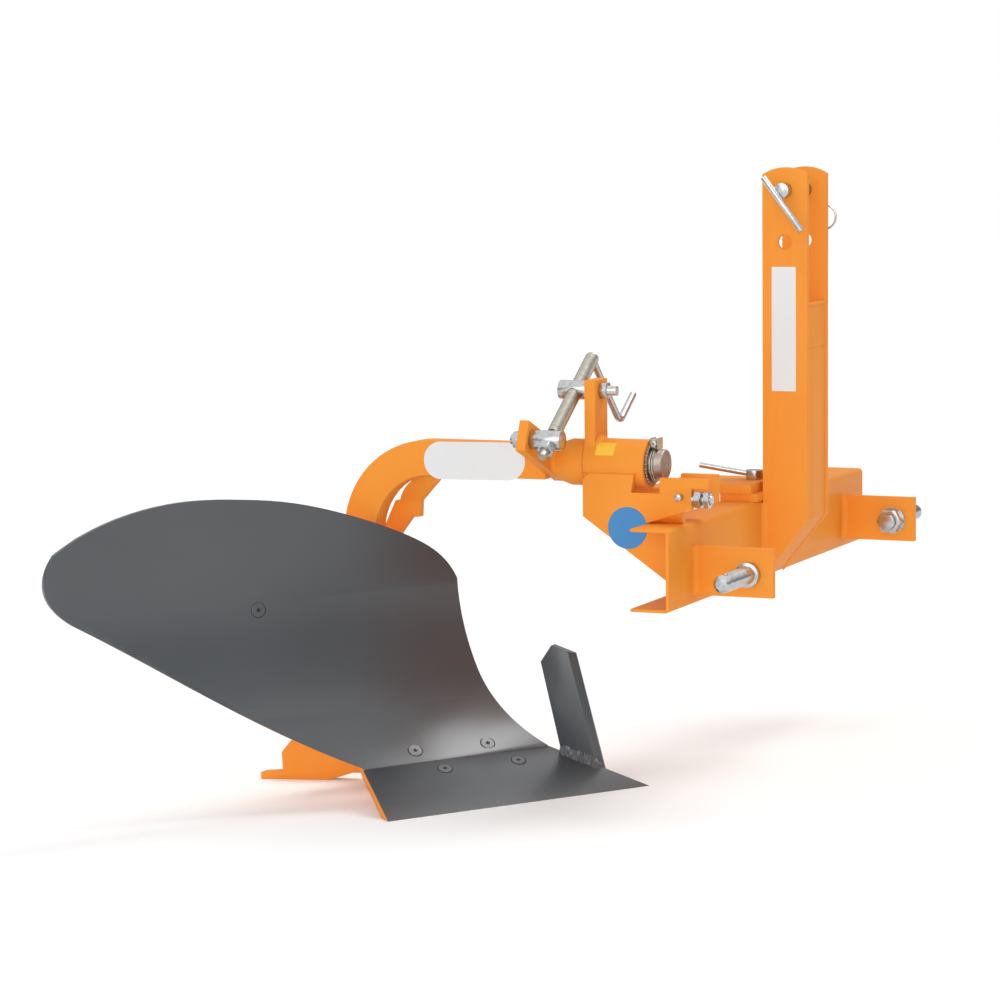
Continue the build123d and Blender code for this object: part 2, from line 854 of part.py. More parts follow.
# Landside: the long bar against the furrow wall, with its heel foot
landside_out = landside_y + landside_t
with BuildPart() as landside:
    with BuildSketch(floor_side(landside_out)):
        with BuildLine():
            Polyline(
                (landside_rear, 0),
                (landside_rear, heel_foot),
                (landside_rear + heel_step, heel_foot + 2),
                (landside_rear + heel_step, landside_height - 16),
                (landside_rear + heel_step + 15, landside_height),
                (landside_front, landside_height),
                (landside_front, toe_lift + 6),
                (landside_rear + 150, toe_lift),
                (landside_rear + 100, 0),
                close=True,
            )
        make_face()
    extrude(amount=landside_t)
landside.part.label = "landside"

# Frog: bent plate behind share and mouldboard, with its side plate on the landside
share_lean = radians(share_rise)
board_lean = radians(board_start)
with BuildPart() as frog:
    with BuildSketch(floor_side(landside_y)):
        with BuildLine():
            Polyline(
                (landside_front + 70, toe_lift),
                (landside_front + 70, frog_top),
                (-500, frog_top),
                (frog_rear, frog_top - 30),
                (frog_rear, toe_lift),
                close=True,
            )
        make_face()
    extrude(amount=frog_side)
    # Nothing of the side plate stays in front of the bent plate
    with BuildSketch(board_section(600)):
        with BuildLine():
            low_back = share_t + frog_t / 2
            high_back = board_t + frog_t / 2
            seam_back = (
                share_q + low_back * sin(share_lean),
                share_z - low_back * cos(share_lean),
            )
            board_back = (
                share_q + high_back * sin(board_lean),
                share_z + seam_gap - high_back * cos(board_lean),
            )
            rising = JernArc(
                board_back,
                (cos(board_lean), sin(board_lean)),
                board_radius + high_back,
                board_turn,
            )
            Polyline(
                board_back,
                seam_back,
                (low_back * sin(share_lean), -low_back * cos(share_lean)),
                (-300, -60),
                (-300, 300),
                rising @ 1,
            )
        make_face()
    extrude(amount=800, mode=Mode.SUBTRACT)
    with BuildSketch(board_section(frog_to)):
        with BuildLine():
            JernArc(
                (
                    share_q + board_t * sin(board_lean),
                    share_z + seam_gap - board_t * cos(board_lean),
                ),
                (cos(board_lean), sin(board_lean)),
                board_radius + board_t,
                board_turn,
            )
            offset(amount=frog_t, side=Side.RIGHT)
        make_face()
    extrude(amount=frog_to + 60)
    with BuildSketch(board_section(frog_to)):
        with Locations(Location((share_q, share_z), share_rise)):
            with Locations((1 - frog_under_share / 2, -share_t - frog_t / 2)):
                Rectangle(frog_under_share + 2, frog_t)
    extrude(amount=frog_to + 60)
    with BuildSketch(landside_cut):
        Rectangle(cut_reach, cut_reach)
    extrude(amount=400, mode=Mode.SUBTRACT)
frog.part.label = "frog"

# Block that carries the leg on the side plate of the frog
with BuildPart() as leg_block:
    with BuildSketch(floor_side(knee_y - knee_t)):
        with Locations((block_x, block_z)):
            Rectangle(block_width, block_height)
    extrude(amount=knee_y - knee_t - leg_port)
leg_block.part.label = "leg_block"

# Stay from the leg to the upper part of the mouldboard
stay_end = tip - edge_dir * stay_s + back_dir * (board_radius) + Vector(0, 0, stay_z)
stay_start = Vector(hitch_x - 520, hitch_y + axis_y, 225)
stay_dir = (stay_end - stay_start).normalized()
with BuildPart() as mouldboard_stay:
    with BuildSketch(Plane(origin=stay_start, x_dir=rise, z_dir=stay_dir)):
        Rectangle(stay_width, stay_t)
    extrude(amount=(stay_end - stay_start).length + 10)
    with BuildSketch(Plane(origin=(hitch_x, hitch_y + axis_y - beam_width / 2, 0), x_dir=(1, 0, 0), z_dir=(0, 1, 0))):
        Rectangle(cut_reach, cut_reach)
    extrude(amount=400, mode=Mode.SUBTRACT)
    with BuildSketch(board_section(board_length)):
        with BuildLine():
            first = JernArc(
                (
                    share_q + board_t * sin(board_lean),
                    share_z + seam_gap - board_t * cos(board_lean),
                ),
                (cos(board_lean), sin(board_lean)),
                board_radius + board_t,
                board_turn,
            )
            second = JernArc(first @ 1, first % 1, upper_radius + board_t, upper_turn)
            Polyline(second @ 1, (-300, 400), (-300, -60), first @ 0)
        make_face()
    extrude(amount=board_length, mode=Mode.SUBTRACT)
mouldboard_stay.part.label = "mouldboard_stay"

# Fin on the landside edge of the share
fin_x = tip_x - fin_foot
with BuildPart() as coulter_fin:
    with BuildSketch(floor_side(landside_y + fin_t)):
        with BuildLine():
            Polyline(
                (fin_x, 14),
                (fin_x - fin_rake, fin_top - 11),
                (fin_x - fin_rake - 29, fin_top),
                (fin_x - fin_rake - 45, fin_top - 21),
                (fin_x - fin_length, 36),
                close=True,
            )
        make_face()
    extrude(amount=fin_t)
    chamfer(edges().filter_by(lambda e: e.length > 140).group_by(Axis.Y)[0], fin_bevel)
coulter_fin.part.label = "coulter_fin"

nodes = [
    cross_channel,
    mast_plate_starboard,
    mast_plate_port,
    mast_web,
    lug_starboard,
    lug_port,
    hitch_pin_starboard,
    hitch_pin_port,
    hitch_nut_starboard,
    hitch_nut_port,
    top_link_pin,
    linch_pin,
    barrel_tube,
    side_plate_starboard,
    side_plate_port,
    arm_plate_node,
    clamp_screw,
    screw_post,
    beam_shaft,
    thrust_washer,
    retaining_clamp,
    screw_arm,
    beam,
    knee_plate,
    upper_trunnion,
    screw_rod,
    lower_trunnion,
    rod_nut,
    crank,
    share,
    mouldboard,
    landside,
    frog,
    leg_block,
    mouldboard_stay,
    coulter_fin,
]
for node in nodes:
    export_step(node.part, "parts/" + node.part.label + ".step")
    box = node.part.bounding_box()
    print(node.part.label, round(node.part.volume / 1000), "cm3", len(node.part.solids()), box.min, box.max)
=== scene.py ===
# %% [markdown]
# # A mounted moldboard plough, dressed for its picture
#
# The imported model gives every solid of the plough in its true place: a headstock that hangs on a
# small tractor's three links, a beam that turns in a barrel, and a body that cuts and turns the
# furrow. This lesson adds what a solid model leaves out: the paint, the zinc, the bolts, the weld
# beads, the screw thread and the softened edges of real steel.
#
# The scene itself is in metres. Most sizes below are written in millimetres, as on a drawing, and
# are scaled by MM where they are used. X points forward to the tractor, Y to port and Z up.

# %% Load the fixed frame
import json
from math import acos, cos, pi, radians, sin, sqrt, tan

import bmesh
import bpy
from mathutils import Matrix, Vector, noise
from mathutils.bvhtree import BVHTree

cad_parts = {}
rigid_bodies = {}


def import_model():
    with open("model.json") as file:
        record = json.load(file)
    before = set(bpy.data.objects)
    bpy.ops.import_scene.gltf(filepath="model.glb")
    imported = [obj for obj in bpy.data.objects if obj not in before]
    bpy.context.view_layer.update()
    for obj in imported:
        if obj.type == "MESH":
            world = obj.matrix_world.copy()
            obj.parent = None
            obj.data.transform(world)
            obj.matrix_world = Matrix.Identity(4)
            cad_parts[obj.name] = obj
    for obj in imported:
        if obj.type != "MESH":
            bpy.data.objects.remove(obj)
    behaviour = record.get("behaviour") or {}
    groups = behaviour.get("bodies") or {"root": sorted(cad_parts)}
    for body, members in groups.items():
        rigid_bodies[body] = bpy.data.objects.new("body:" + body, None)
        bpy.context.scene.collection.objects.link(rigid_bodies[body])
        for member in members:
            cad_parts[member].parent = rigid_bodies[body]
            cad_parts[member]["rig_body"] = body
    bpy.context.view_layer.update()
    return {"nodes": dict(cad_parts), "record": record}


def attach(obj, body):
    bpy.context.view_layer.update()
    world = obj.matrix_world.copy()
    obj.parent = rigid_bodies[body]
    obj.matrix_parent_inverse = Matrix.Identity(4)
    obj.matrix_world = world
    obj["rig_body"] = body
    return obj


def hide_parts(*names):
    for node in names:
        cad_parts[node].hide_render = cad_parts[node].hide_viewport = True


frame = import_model()
nodes = frame["nodes"]
scene = bpy.context.scene

# %% [markdown]
# The headstock leans by about three degrees, because the plough rests on its share and heel with no
# tractor to hold it level. Places on the headstock are easiest to give in its own directions, from
# the middle of the hitch pins. Places on the body stand on the floor, so they need no lean.

# %% Directions of the headstock and of the plough body
MM = 0.001
HITCH_X, HITCH_Y, HITCH_Z = 376.5, 118.9, 271.5
HITCH = Vector((HITCH_X, HITCH_Y, HITCH_Z)) * MM
LEAN = radians(3.1)
FORWARD = Vector((cos(LEAN), 0, -sin(LEAN)))
PORT = Vector((0, 1, 0))
RISE = Vector((sin(LEAN), 0, cos(LEAN)))


def head(x, y, z):
    """A point of the headstock in millimetres from the hitch, as a point of the scene."""
    return HITCH + (FORWARD * x + PORT * y + RISE * z) * MM


CUT = radians(47.1)
EDGE = Vector((cos(CUT), sin(CUT), 0))
BACK = Vector((-sin(CUT), cos(CUT), 0))
LANDSIDE_Y = HITCH_Y - 235
TIP = Vector((HITCH_X - 167, LANDSIDE_Y, 0)) * MM


def board(s, q, z):
    """A point s along the cutting edge from the share's tip, q behind the edge and z up."""
    return TIP + (-EDGE * s + BACK * q) * MM + Vector((0, 0, z * MM))


BARREL_Y = -292
BARREL_Z = 129
TUBE_REAR = -205
TUBE_FRONT = -126
TUBE_RADIUS = 30
CHANNEL_FACE = -71
print("barrel axis at", [round(v, 3) for v in head(0, BARREL_Y, BARREL_Z)])

# %% [markdown]
# A product photograph of a wide implement is taken from some way off with a long lens, so that near
# and far parts keep their proportions. The camera stands well out to starboard and ahead of the
# hitch, at the height of the mast, and is turned slightly about its own line of sight.

# %% Camera
CAMERA_PLACE = Vector((1.7228, -3.8904, 0.7341))
CAMERA_TURN = radians(24.177)
CAMERA_RISE = radians(5.147)
CAMERA_ROLL = radians(-3.466)
SENSOR_WIDTH = 36
LENS = 118.88

camera_data = bpy.data.cameras.new("camera")
camera_data.sensor_width = SENSOR_WIDTH
camera_data.lens = LENS
camera = bpy.data.objects.new("camera", camera_data)
scene.collection.objects.link(camera)
look_back = Vector(
    (sin(CAMERA_TURN) * cos(CAMERA_RISE), -cos(CAMERA_TURN) * cos(CAMERA_RISE), sin(CAMERA_RISE))
)
look_right = Vector((cos(CAMERA_TURN), sin(CAMERA_TURN), 0))
look_up = look_back.cross(look_right)
rolled_right = look_right * cos(CAMERA_ROLL) + look_up * sin(CAMERA_ROLL)
rolled_up = look_up * cos(CAMERA_ROLL) - look_right * sin(CAMERA_ROLL)
turn = Matrix((rolled_right, rolled_up, look_back)).transposed().to_4x4()
camera.matrix_world = Matrix.Translation(CAMERA_PLACE) @ turn
scene.camera = camera
print("camera looks along", [round(v, 2) for v in -look_back])

# %% [markdown]
# The picture is a studio cut-out on white, with a soft grey shadow under the share. A plain white
# world lights the object from all sides and is pure white to the camera. Shiny metal needs
# something darker to reflect, or it looks like chalk, so for reflections alone the sky fades to
# grey towards the horizon. The light from the tractor's side is dimmer, so faces turned that way
# are shaded and the bars look solid. Two large suns do the rest: one stands overhead and casts the
# soft shadow, and one fills from the camera's side without a shadow, as a wide softbox does.

# %% World and suns
scene.view_settings.view_transform = "Standard"
WORLD_LIGHT = (0.76, 0.42)
WORLD_SIDES = (-0.7, 0.9)
HORIZON_SHEEN = 0.20
SHEEN_HEIGHTS = (0.02, 0.62)
# Each sun: strength, direction of travel, width in degrees, and whether it casts a shadow.
SUNS = {
    "overhead": (1.25, (-0.33, -0.36, -0.87), 34, True),
    "fill": (1.25, (-0.12, 0.95, -0.22), 60, False),
}

world = bpy.data.worlds.new("studio")
scene.world = world
world.use_nodes = True
tree = world.node_tree
tree.nodes.clear()
path = tree.nodes.new("ShaderNodeLightPath")
light = tree.nodes.new("ShaderNodeBackground")
sheen = tree.nodes.new("ShaderNodeBackground")
white = tree.nodes.new("ShaderNodeBackground")
white.inputs["Strength"].default_value = 1.0
for background in (light, sheen, white):
    background.inputs["Color"].default_value = (1, 1, 1, 1)
toward = tree.nodes.new("ShaderNodeTexCoord")
split = tree.nodes.new("ShaderNodeSeparateXYZ")
side = tree.nodes.new("ShaderNodeMapRange")
side.inputs["From Min"].default_value = WORLD_SIDES[0]
side.inputs["From Max"].default_value = WORLD_SIDES[1]
side.inputs["To Min"].default_value = WORLD_LIGHT[0]
side.inputs["To Max"].default_value = WORLD_LIGHT[1]
height = tree.nodes.new("ShaderNodeMapRange")
height.interpolation_type = "SMOOTHSTEP"
height.inputs["From Min"].default_value = SHEEN_HEIGHTS[0]
height.inputs["From Max"].default_value = SHEEN_HEIGHTS[1]
height.inputs["To Min"].default_value = HORIZON_SHEEN
height.inputs["To Max"].default_value = 1.0
seen = tree.nodes.new("ShaderNodeMath")
seen.operation = "MAXIMUM"
reflect = tree.nodes.new("ShaderNodeMixShader")
direct = tree.nodes.new("ShaderNodeMixShader")
output = tree.nodes.new("ShaderNodeOutputWorld")
tree.links.new(toward.outputs["Generated"], split.inputs[0])
tree.links.new(split.outputs["X"], side.inputs["Value"])
tree.links.new(side.outputs["Result"], light.inputs["Strength"])
tree.links.new(split.outputs["Z"], height.inputs["Value"])
tree.links.new(height.outputs["Result"], sheen.inputs["Strength"])
tree.links.new(path.outputs["Is Glossy Ray"], reflect.inputs[0])
tree.links.new(light.outputs[0], reflect.inputs[1])
tree.links.new(sheen.outputs[0], reflect.inputs[2])
tree.links.new(path.outputs["Is Camera Ray"], seen.inputs[0])
tree.links.new(path.outputs["Is Transmission Ray"], seen.inputs[1])
tree.links.new(seen.outputs[0], direct.inputs[0])
tree.links.new(reflect.outputs[0], direct.inputs[1])
tree.links.new(white.outputs[0], direct.inputs[2])
tree.links.new(direct.outputs[0], output.inputs[0])

for name, (energy, travel, width, casts) in SUNS.items():
    sun_data = bpy.data.lights.new(name, "SUN")
    sun_data.energy = energy
    sun_data.angle = radians(width)
    sun_data.use_shadow = casts
    sun = bpy.data.objects.new(name, sun_data)
    sun.rotation_euler = Vector(travel).to_track_quat("-Z", "Y").to_euler()
    scene.collection.objects.link(sun)
print(len(SUNS), "suns and a world of", WORLD_LIGHT)

# %% [markdown]
# A wide pale floor takes the shadow. It is lit almost to white, and a faint glow that only the
# camera sees closes the gap, so the floor has no visible edge against the white behind it.

# %% Floor
FLOOR_HALF = 30.0
FLOOR_PALE = 0.9
FLOOR_GLOW = 0.12
floor_mesh = bpy.data.meshes.new("floor")
floor_points = [(x * FLOOR_HALF, y * FLOOR_HALF, 0) for x, y in ((-1, -1), (1, -1), (1, 1), (-1, 1))]
floor_mesh.from_pydata(floor_points, [], [(0, 1, 2, 3)])
floor = bpy.data.objects.new("floor", floor_mesh)
scene.collection.objects.link(floor)

floor_paint = bpy.data.materials.new("floor_white")
floor_paint.use_nodes = True
tree = floor_paint.node_tree
bsdf = tree.nodes["Principled BSDF"]
bsdf.inputs["Base Color"].default_value = (FLOOR_PALE, FLOOR_PALE, FLOOR_PALE, 1)
bsdf.inputs["Roughness"].default_value = 1.0
bsdf.inputs["Specular IOR Level"].default_value = 0.0
path = tree.nodes.new("ShaderNodeLightPath")
lift = tree.nodes.new("ShaderNodeMath")
lift.operation = "MULTIPLY"
lift.inputs[1].default_value = FLOOR_GLOW
tree.links.new(path.outputs["Is Camera Ray"], lift.inputs[0])
bsdf.inputs["Emission Color"].default_value = (1, 1, 1, 1)
tree.links.new(lift.outputs[0], bsdf.inputs["Emission Strength"])
floor_mesh.materials.append(floor_paint)
print("floor of", 2 * FLOOR_HALF, "m")

# %% [markdown]
# Every finish starts the same way: a base colour, a roughness, and a fine grain that stirs both a
# little and lifts the surface by some hundredths of a millimetre. One helper builds that, so each
# material below only says what makes it different. The grain is laid out in object space, in
# metres, which keeps its scale true on every piece.

# %% A helper that builds a surface from noise
GRAIN_DEPTH = 0.0005


def surface(name, tones, roughness, metallic=0.0, grain=300.0, mottle=9.0, bump=0.05, specular=0.5):
    """A material whose colour wanders between two tones and whose roughness and height have grain."""
    material = bpy.data.materials.new(name)
    material.use_nodes = True
    tree = material.node_tree
    bsdf = tree.nodes["Principled BSDF"]
    bsdf.inputs["Metallic"].default_value = metallic
    bsdf.inputs["Specular IOR Level"].default_value = specular
    place = tree.nodes.new("ShaderNodeTexCoord")
    wide = tree.nodes.new("ShaderNodeTexNoise")
    wide.inputs["Scale"].default_value = mottle
    wide.inputs["Detail"].default_value = 4
    fine = tree.nodes.new("ShaderNodeTexNoise")
    fine.inputs["Scale"].default_value = grain
    fine.inputs["Detail"].default_value = 3
    for texture in (wide, fine):
        tree.links.new(place.outputs["Object"], texture.inputs["Vector"])
    ramp = tree.nodes.new("ShaderNodeValToRGB")
    ramp.color_ramp.elements[0].position = 0.3
    ramp.color_ramp.elements[1].position = 0.7
    ramp.color_ramp.elements[0].color = (*tones[0], 1)
    ramp.color_ramp.elements[1].color = (*tones[1], 1)
    tree.links.new(wide.outputs["Fac"], ramp.inputs["Fac"])
    tree.links.new(ramp.outputs["Color"], bsdf.inputs["Base Color"])
    rough = tree.nodes.new("ShaderNodeMapRange")
    rough.inputs["To Min"].default_value = roughness[0]
    rough.inputs["To Max"].default_value = roughness[1]
    tree.links.new(fine.outputs["Fac"], rough.inputs["Value"])
    tree.links.new(rough.outputs["Result"], bsdf.inputs["Roughness"])
    lift = tree.nodes.new("ShaderNodeBump")
    lift.inputs["Strength"].default_value = bump
    lift.inputs["Distance"].default_value = GRAIN_DEPTH
    tree.links.new(fine.outputs["Fac"], lift.inputs["Height"])
    tree.links.new(lift.outputs["Normal"], bsdf.inputs["Normal"])
    return material


print("a surface is built from two noises")

# %% [markdown]
# The headstock and beam wear sprayed orange enamel: a satin film with a faint orange-peel skin. It
# could be one orange, but sprayed paint is a touch deeper where two coats overlap, so the colour
# wanders slightly. The soil-working parts are dark slate, a smoother and glossier paint that shows
# long soft gleams. The bright parts are zinc plated, which breaks up into tiny crystals of grey.

# %% Paints and metals
paint_orange = surface(
    "orange_enamel",
    ((0.84, 0.285, 0.034), (0.88, 0.310, 0.040)),
    (0.44, 0.54),
    grain=420,
    bump=0.06,
    specular=0.14,
)
paint_slate = surface(
    "slate_enamel",
    ((0.046, 0.053, 0.060), (0.056, 0.063, 0.070)),
    (0.27, 0.34),
    grain=380,
    mottle=5,
    bump=0.05,
    specular=0.95,
)
zinc = surface(
    "bright_zinc",
    ((0.46, 0.47, 0.48), (0.64, 0.65, 0.65)),
    (0.16, 0.32),
    metallic=1.0,
    grain=900,
    mottle=260,
    bump=0.06,
)
yellow_zinc = surface(
    "yellow_zinc",
    ((0.44, 0.41, 0.34), (0.58, 0.56, 0.49)),
    (0.22, 0.40),
    metallic=1.0,
    grain=900,
    mottle=220,
    bump=0.06,
)
turned_steel = surface(
    "turned_steel",
    ((0.33, 0.25, 0.21), (0.47, 0.39, 0.34)),
    (0.34, 0.55),
    metallic=1.0,
    grain=700,
    mottle=70,
    bump=0.1,
)
FINISH = {
    "orange_paint": paint_orange,
    "slate_paint": paint_slate,
    "bright_zinc": zinc,
    "yellow_zinc": yellow_zinc,
    "turned_steel": turned_steel,
}
node_slot = {part["node"]: part["material_slot"] for part in frame["record"]["subparts"]}
body_of = {name: node["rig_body"] for name, node in nodes.items()}
for name, node in nodes.items():
    node.data.materials.clear()
    node.data.materials.append(FINISH[node_slot[name]])
print(len(FINISH), "finishes on", len(nodes), "nodes")

# %% [markdown]
# Hot-rolled and sawn steel never has a perfectly sharp edge. The edge is broken by a file or a
# grinder and then rounded further by paint, and that thin line catches the light. A bevel on the
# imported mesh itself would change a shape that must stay, so a copy is joined up, bevelled along its
# sharp edges, and shown in place of the plain solid.

# %% A helper that softens the edges of a solid
MERGE = 1e-6
FLAT_TURN = radians(0.4)


def finish_mesh(mesh, smooth_angle=32):
    """Shade smooth, but keep the edges that turn by more than the given angle."""
    mesh.shade_smooth()
    mesh.set_sharp_from_angle(angle=radians(smooth_angle))


def soften(name, width, segments=2, turn_angle=28):
    """A copy of a solid whose sharp edges are rounded, shown instead of it."""
    form = bmesh.new()
    form.from_mesh(nodes[name].data)
    bmesh.ops.remove_doubles(form, verts=form.verts, dist=MERGE)
    bmesh.ops.dissolve_limit(
        form,
        angle_limit=FLAT_TURN,
        verts=form.verts,
        edges=form.edges,
        use_dissolve_boundaries=False,
    )
    sharp = [
        edge
        for edge in form.edges
        if len(edge.link_faces) == 2 and edge.calc_face_angle(0) > radians(turn_angle)
    ]
    bmesh.ops.bevel(
        form,
        geom=sharp,
        offset=width * MM,
        offset_type="OFFSET",
        segments=segments,
        profile=0.5,
        affect="EDGES",
        clamp_overlap=True,
    )
    mesh = bpy.data.meshes.new(name + "_dressed")
    form.to_mesh(mesh)
    form.free()
    finish_mesh(mesh)
    piece = bpy.data.objects.new(name + "_dressed", mesh)
    scene.collection.objects.link(piece)
    mesh.materials.append(FINISH[node_slot[name]])
    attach(piece, body_of[name])
    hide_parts(name)
    return piece


# %% [markdown]
# Heavy rolled bars have wide round edges, and laser-cut plates and ground blades have fine ones. One
# width for all would be simpler, but it would make the thin plates look cast. The share stays almost
# sharp. Each width is in millimetres.

# %% Soften every plate, bar and pin
EDGE_WIDTH = {
    "cross_channel": 1.6,
    "mast_plate_starboard": 0.9,
    "mast_plate_port": 0.9,
    "mast_web": 0.8,
    "lug_starboard": 0.8,
    "lug_port": 0.8,
    "hitch_pin_starboard": 0.8,
    "hitch_pin_port": 0.8,
    "barrel_tube": 1.0,
    "side_plate_starboard": 0.7,
    "side_plate_port": 0.7,
    "arm_plate": 0.8,
    "screw_post": 0.8,
    "beam_shaft": 0.8,
    "screw_arm": 0.8,
    "beam": 1.4,
    "knee_plate": 0.8,
    "share": 0.3,
    "mouldboard": 0.6,
    "landside": 1.2,
    "frog": 1.0,
    "leg_block": 1.0,
    "mouldboard_stay": 1.0,
    "coulter_fin": 0.8,
    "upper_trunnion": 0.7,
    "lower_trunnion": 0.7,
    "rod_nut": 0.5,
    "top_link_pin": 0.7,
    "clamp_screw": 0.6,
    "linch_pin": 0.5,
}
dressed = {name: soften(name, width) for name, width in EDGE_WIDTH.items()}
for name in sorted(set(nodes) - set(dressed)):
    print("kept as packed:", name)
print(len(dressed), "solids softened")

# %% [markdown]
# The upper edge of the wing is a long even curve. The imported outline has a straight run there, so
# the dressed copy is cut across that stretch about every ten millimetres, and the new points are
# swelled upward and a little forward, as the plate leans.

# %% Swell the wing's upper edge


def board_place(point):
    """Distance along the edge, behind it and above the floor, in millimetres."""
    way = (point - TIP) / MM
    return -way.dot(EDGE), way.dot(BACK), way.z


def between(knots, at):
    """Value at a place, on straight lines between (place, value) knots in rising order."""
    for (low, first), (high, last) in zip(knots, knots[1:]):
        if low <= at <= high:
            return first + (last - first) * (at - low) / (high - low)
    return 0.0


WING_RIM = ((446, 388.9), (501, 392.0), (553, 388.1), (600.3, 375.9), (691.6, 343.0))
WING_SWELL = (
    (457, 0.0),
    (500, 1.4),
    (555, 3.8),
    (586, 6.0),
    (613, 8.8),
    (637, 9.4),
    (662, 7.4),
    (680, 3.4),
    (691.6, 0.0),
)
WING_FROM, WING_TO = WING_SWELL[0][0], WING_SWELL[-1][0]
WING_DEPTH = 45.0
WING_LEAN = 0.25
wing = dressed["mouldboard"].data
form = bmesh.new()
form.from_mesh(wing)
CUTS = 24
for i in range(1, CUTS):
    s_cut = WING_FROM + (WING_TO - WING_FROM) * i / CUTS
    everything = form.verts[:] + form.edges[:] + form.faces[:]
    bmesh.ops.bisect_plane(form, geom=everything, plane_co=board(s_cut, 0, 0), plane_no=EDGE)
for vert in form.verts:
    s, _, z = board_place(vert.co)
    below = between(WING_RIM, s) - z
    if below < WING_DEPTH:
        swell = between(WING_SWELL, s) * (1 - max(below, 0) / WING_DEPTH)
        vert.co += (Vector((0, 0, swell)) - BACK * WING_LEAN * swell) * MM
form.to_mesh(wing)
form.free()
finish_mesh(wing, 40)
print("wing swelled by up to", max(value for _, value in WING_SWELL), "mm")

# %% [markdown]
# The soil-working plates are sprayed orange all over first, and only their working faces and upper
# rims get the slate coat. That leaves a thin orange line under the mouldboard and down the wing of
# the share. Painting by the direction of each face does it. The ground edge of the share is bare.

# %% Two coats on the share and the mouldboard
bare_edge = surface(
    "bare_edge",
    ((0.55, 0.53, 0.50), (0.72, 0.71, 0.70)),
    (0.25, 0.40),
    metallic=1.0,
    grain=900,
    mottle=80,
)
SHARE_RISE = radians(26.5)
BOARD_START = radians(36.3)
BOARD_BEND = radians(75.1)
BOARD_RADIUS = 180
UPPER_RADIUS = 450
SEAM_Z = 49.4
BEND_Z = SEAM_Z + BOARD_RADIUS * (cos(BOARD_START) - cos(BOARD_BEND))
WORKING = 0.94
HIDDEN = -0.6
UNDERSIDE = -0.15
WING_START = 470


def front_direction(name, z):
    """The direction that the front skin faces at a height above the floor in millimetres."""
    if name == "share":
        lean = SHARE_RISE
    elif z < BEND_Z:
        lean = acos(min(1.0, cos(BOARD_START) - (z - SEAM_Z) / BOARD_RADIUS))
    else:
        lean = acos(max(-1.0, cos(BOARD_BEND) - (z - BEND_Z) / UPPER_RADIUS))
    return -BACK * sin(lean) + Vector((0, 0, cos(lean)))


for name in ("share", "mouldboard"):
    mesh = dressed[name].data
    mesh.materials.clear()
    for coat in (paint_slate, paint_orange, bare_edge):
        mesh.materials.append(coat)
    counts = [0, 0, 0]
    for face in mesh.polygons:
        s, q, z = board_place(face.center)
        front = face.normal.dot(front_direction(name, z))
        seam = abs(z - SEAM_Z) < 7 and s < 340 and q > 75 and front > HIDDEN
        slate = front > WORKING or seam
        if name == "mouldboard" and front > HIDDEN:
            slate = slate or face.normal.z > UNDERSIDE or s > WING_START
        choice = 0 if slate else 1
        # The ground edge: low, at the very front, and not part of the upper face
        if name == "share" and z < 1.6 and q < 4 and 10 < s < 345 and front < 0.99:
            choice = 2
        face.material_index = choice
        counts[choice] += 1
    print(name, counts, "slate, orange and bare faces")

# %% [markdown]
# The shaft is turned from bar. Its boss is sprayed with the beam, but the end that runs in the
# barrel stays bare and has gone brown with oil.

# %% Bare end of the shaft
shaft_mesh = dressed["beam_shaft"].data
shaft_mesh.materials.clear()
shaft_mesh.materials.append(paint_orange)
shaft_mesh.materials.append(turned_steel)
for face in shaft_mesh.polygons:
    place = (face.center - HITCH).dot(FORWARD) / MM
    face.material_index = 1 if place > TUBE_REAR + 1 else 0
print(sum(face.material_index for face in shaft_mesh.polygons), "bare faces on the shaft")

# %% [markdown]
# Round things, such as washers, domed ends and spring rings, are all a profile turned about an
# axis. One helper does the turning. A profile is a list of (radius, height) pairs in millimetres.

# %% Helpers: a piece from a bmesh, and a turned piece


def add_piece(name, form, body, finish, smooth_angle=32, replaced=None):
    """Turn a bmesh into an object that rides on a body."""
    bmesh.ops.recalc_face_normals(form, faces=form.faces)
    mesh = bpy.data.meshes.new(name)
    form.to_mesh(mesh)
    form.free()
    finish_mesh(mesh, smooth_angle)
    piece = bpy.data.objects.new(name, mesh)
    scene.collection.objects.link(piece)
    mesh.materials.append(finish)
    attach(piece, body)
    if replaced:
        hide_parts(replaced)
    return piece


def frame_at(origin, axis):
    """A matrix whose Z runs along the axis from the origin."""
    axis = axis.normalized()
    side = RISE.cross(axis) if abs(RISE.dot(axis)) < 0.95 else FORWARD.cross(axis)
    side.normalize()
    across = axis.cross(side)
    turned = Matrix((side, across, axis)).transposed().to_4x4()
    return Matrix.Translation(origin) @ turned


def ring_rows(form, rows, closed_ends=True):
    """Join equal rows of vertices into a skin, and cap its two ends."""
    count = len(rows[0])
    for low, high in zip(rows, rows[1:]):
        for i in range(count):
            j = (i + 1) % count
            form.faces.new((low[i], low[j], high[j], high[i]))
    if closed_ends:
        form.faces.new(list(reversed(rows[0])))
        form.faces.new(rows[-1])


def turned_form(form, matrix, profile, steps=48):
    """Add a solid of revolution: its profile is in millimetres as (radius, height)."""
    rows = []
    for radius, height in profile:
        row = []
        for i in range(steps):
            angle = 2 * pi * i / steps
            place = Vector((cos(angle) * radius, sin(angle) * radius, height)) * MM
            row.append(form.verts.new(matrix @ place))
        rows.append(row)
    ring_rows(form, rows)


def dome(radius, height, rise_by, steps=5):
    """Profile of a domed end: from the full radius at a height up to nearly the axis."""
    turns = [pi / 2 * i / steps for i in range(steps + 1)]
    return [(max(radius * cos(t), 0.05), height + rise_by * sin(t)) for t in turns]


print("helpers for turned pieces are ready")

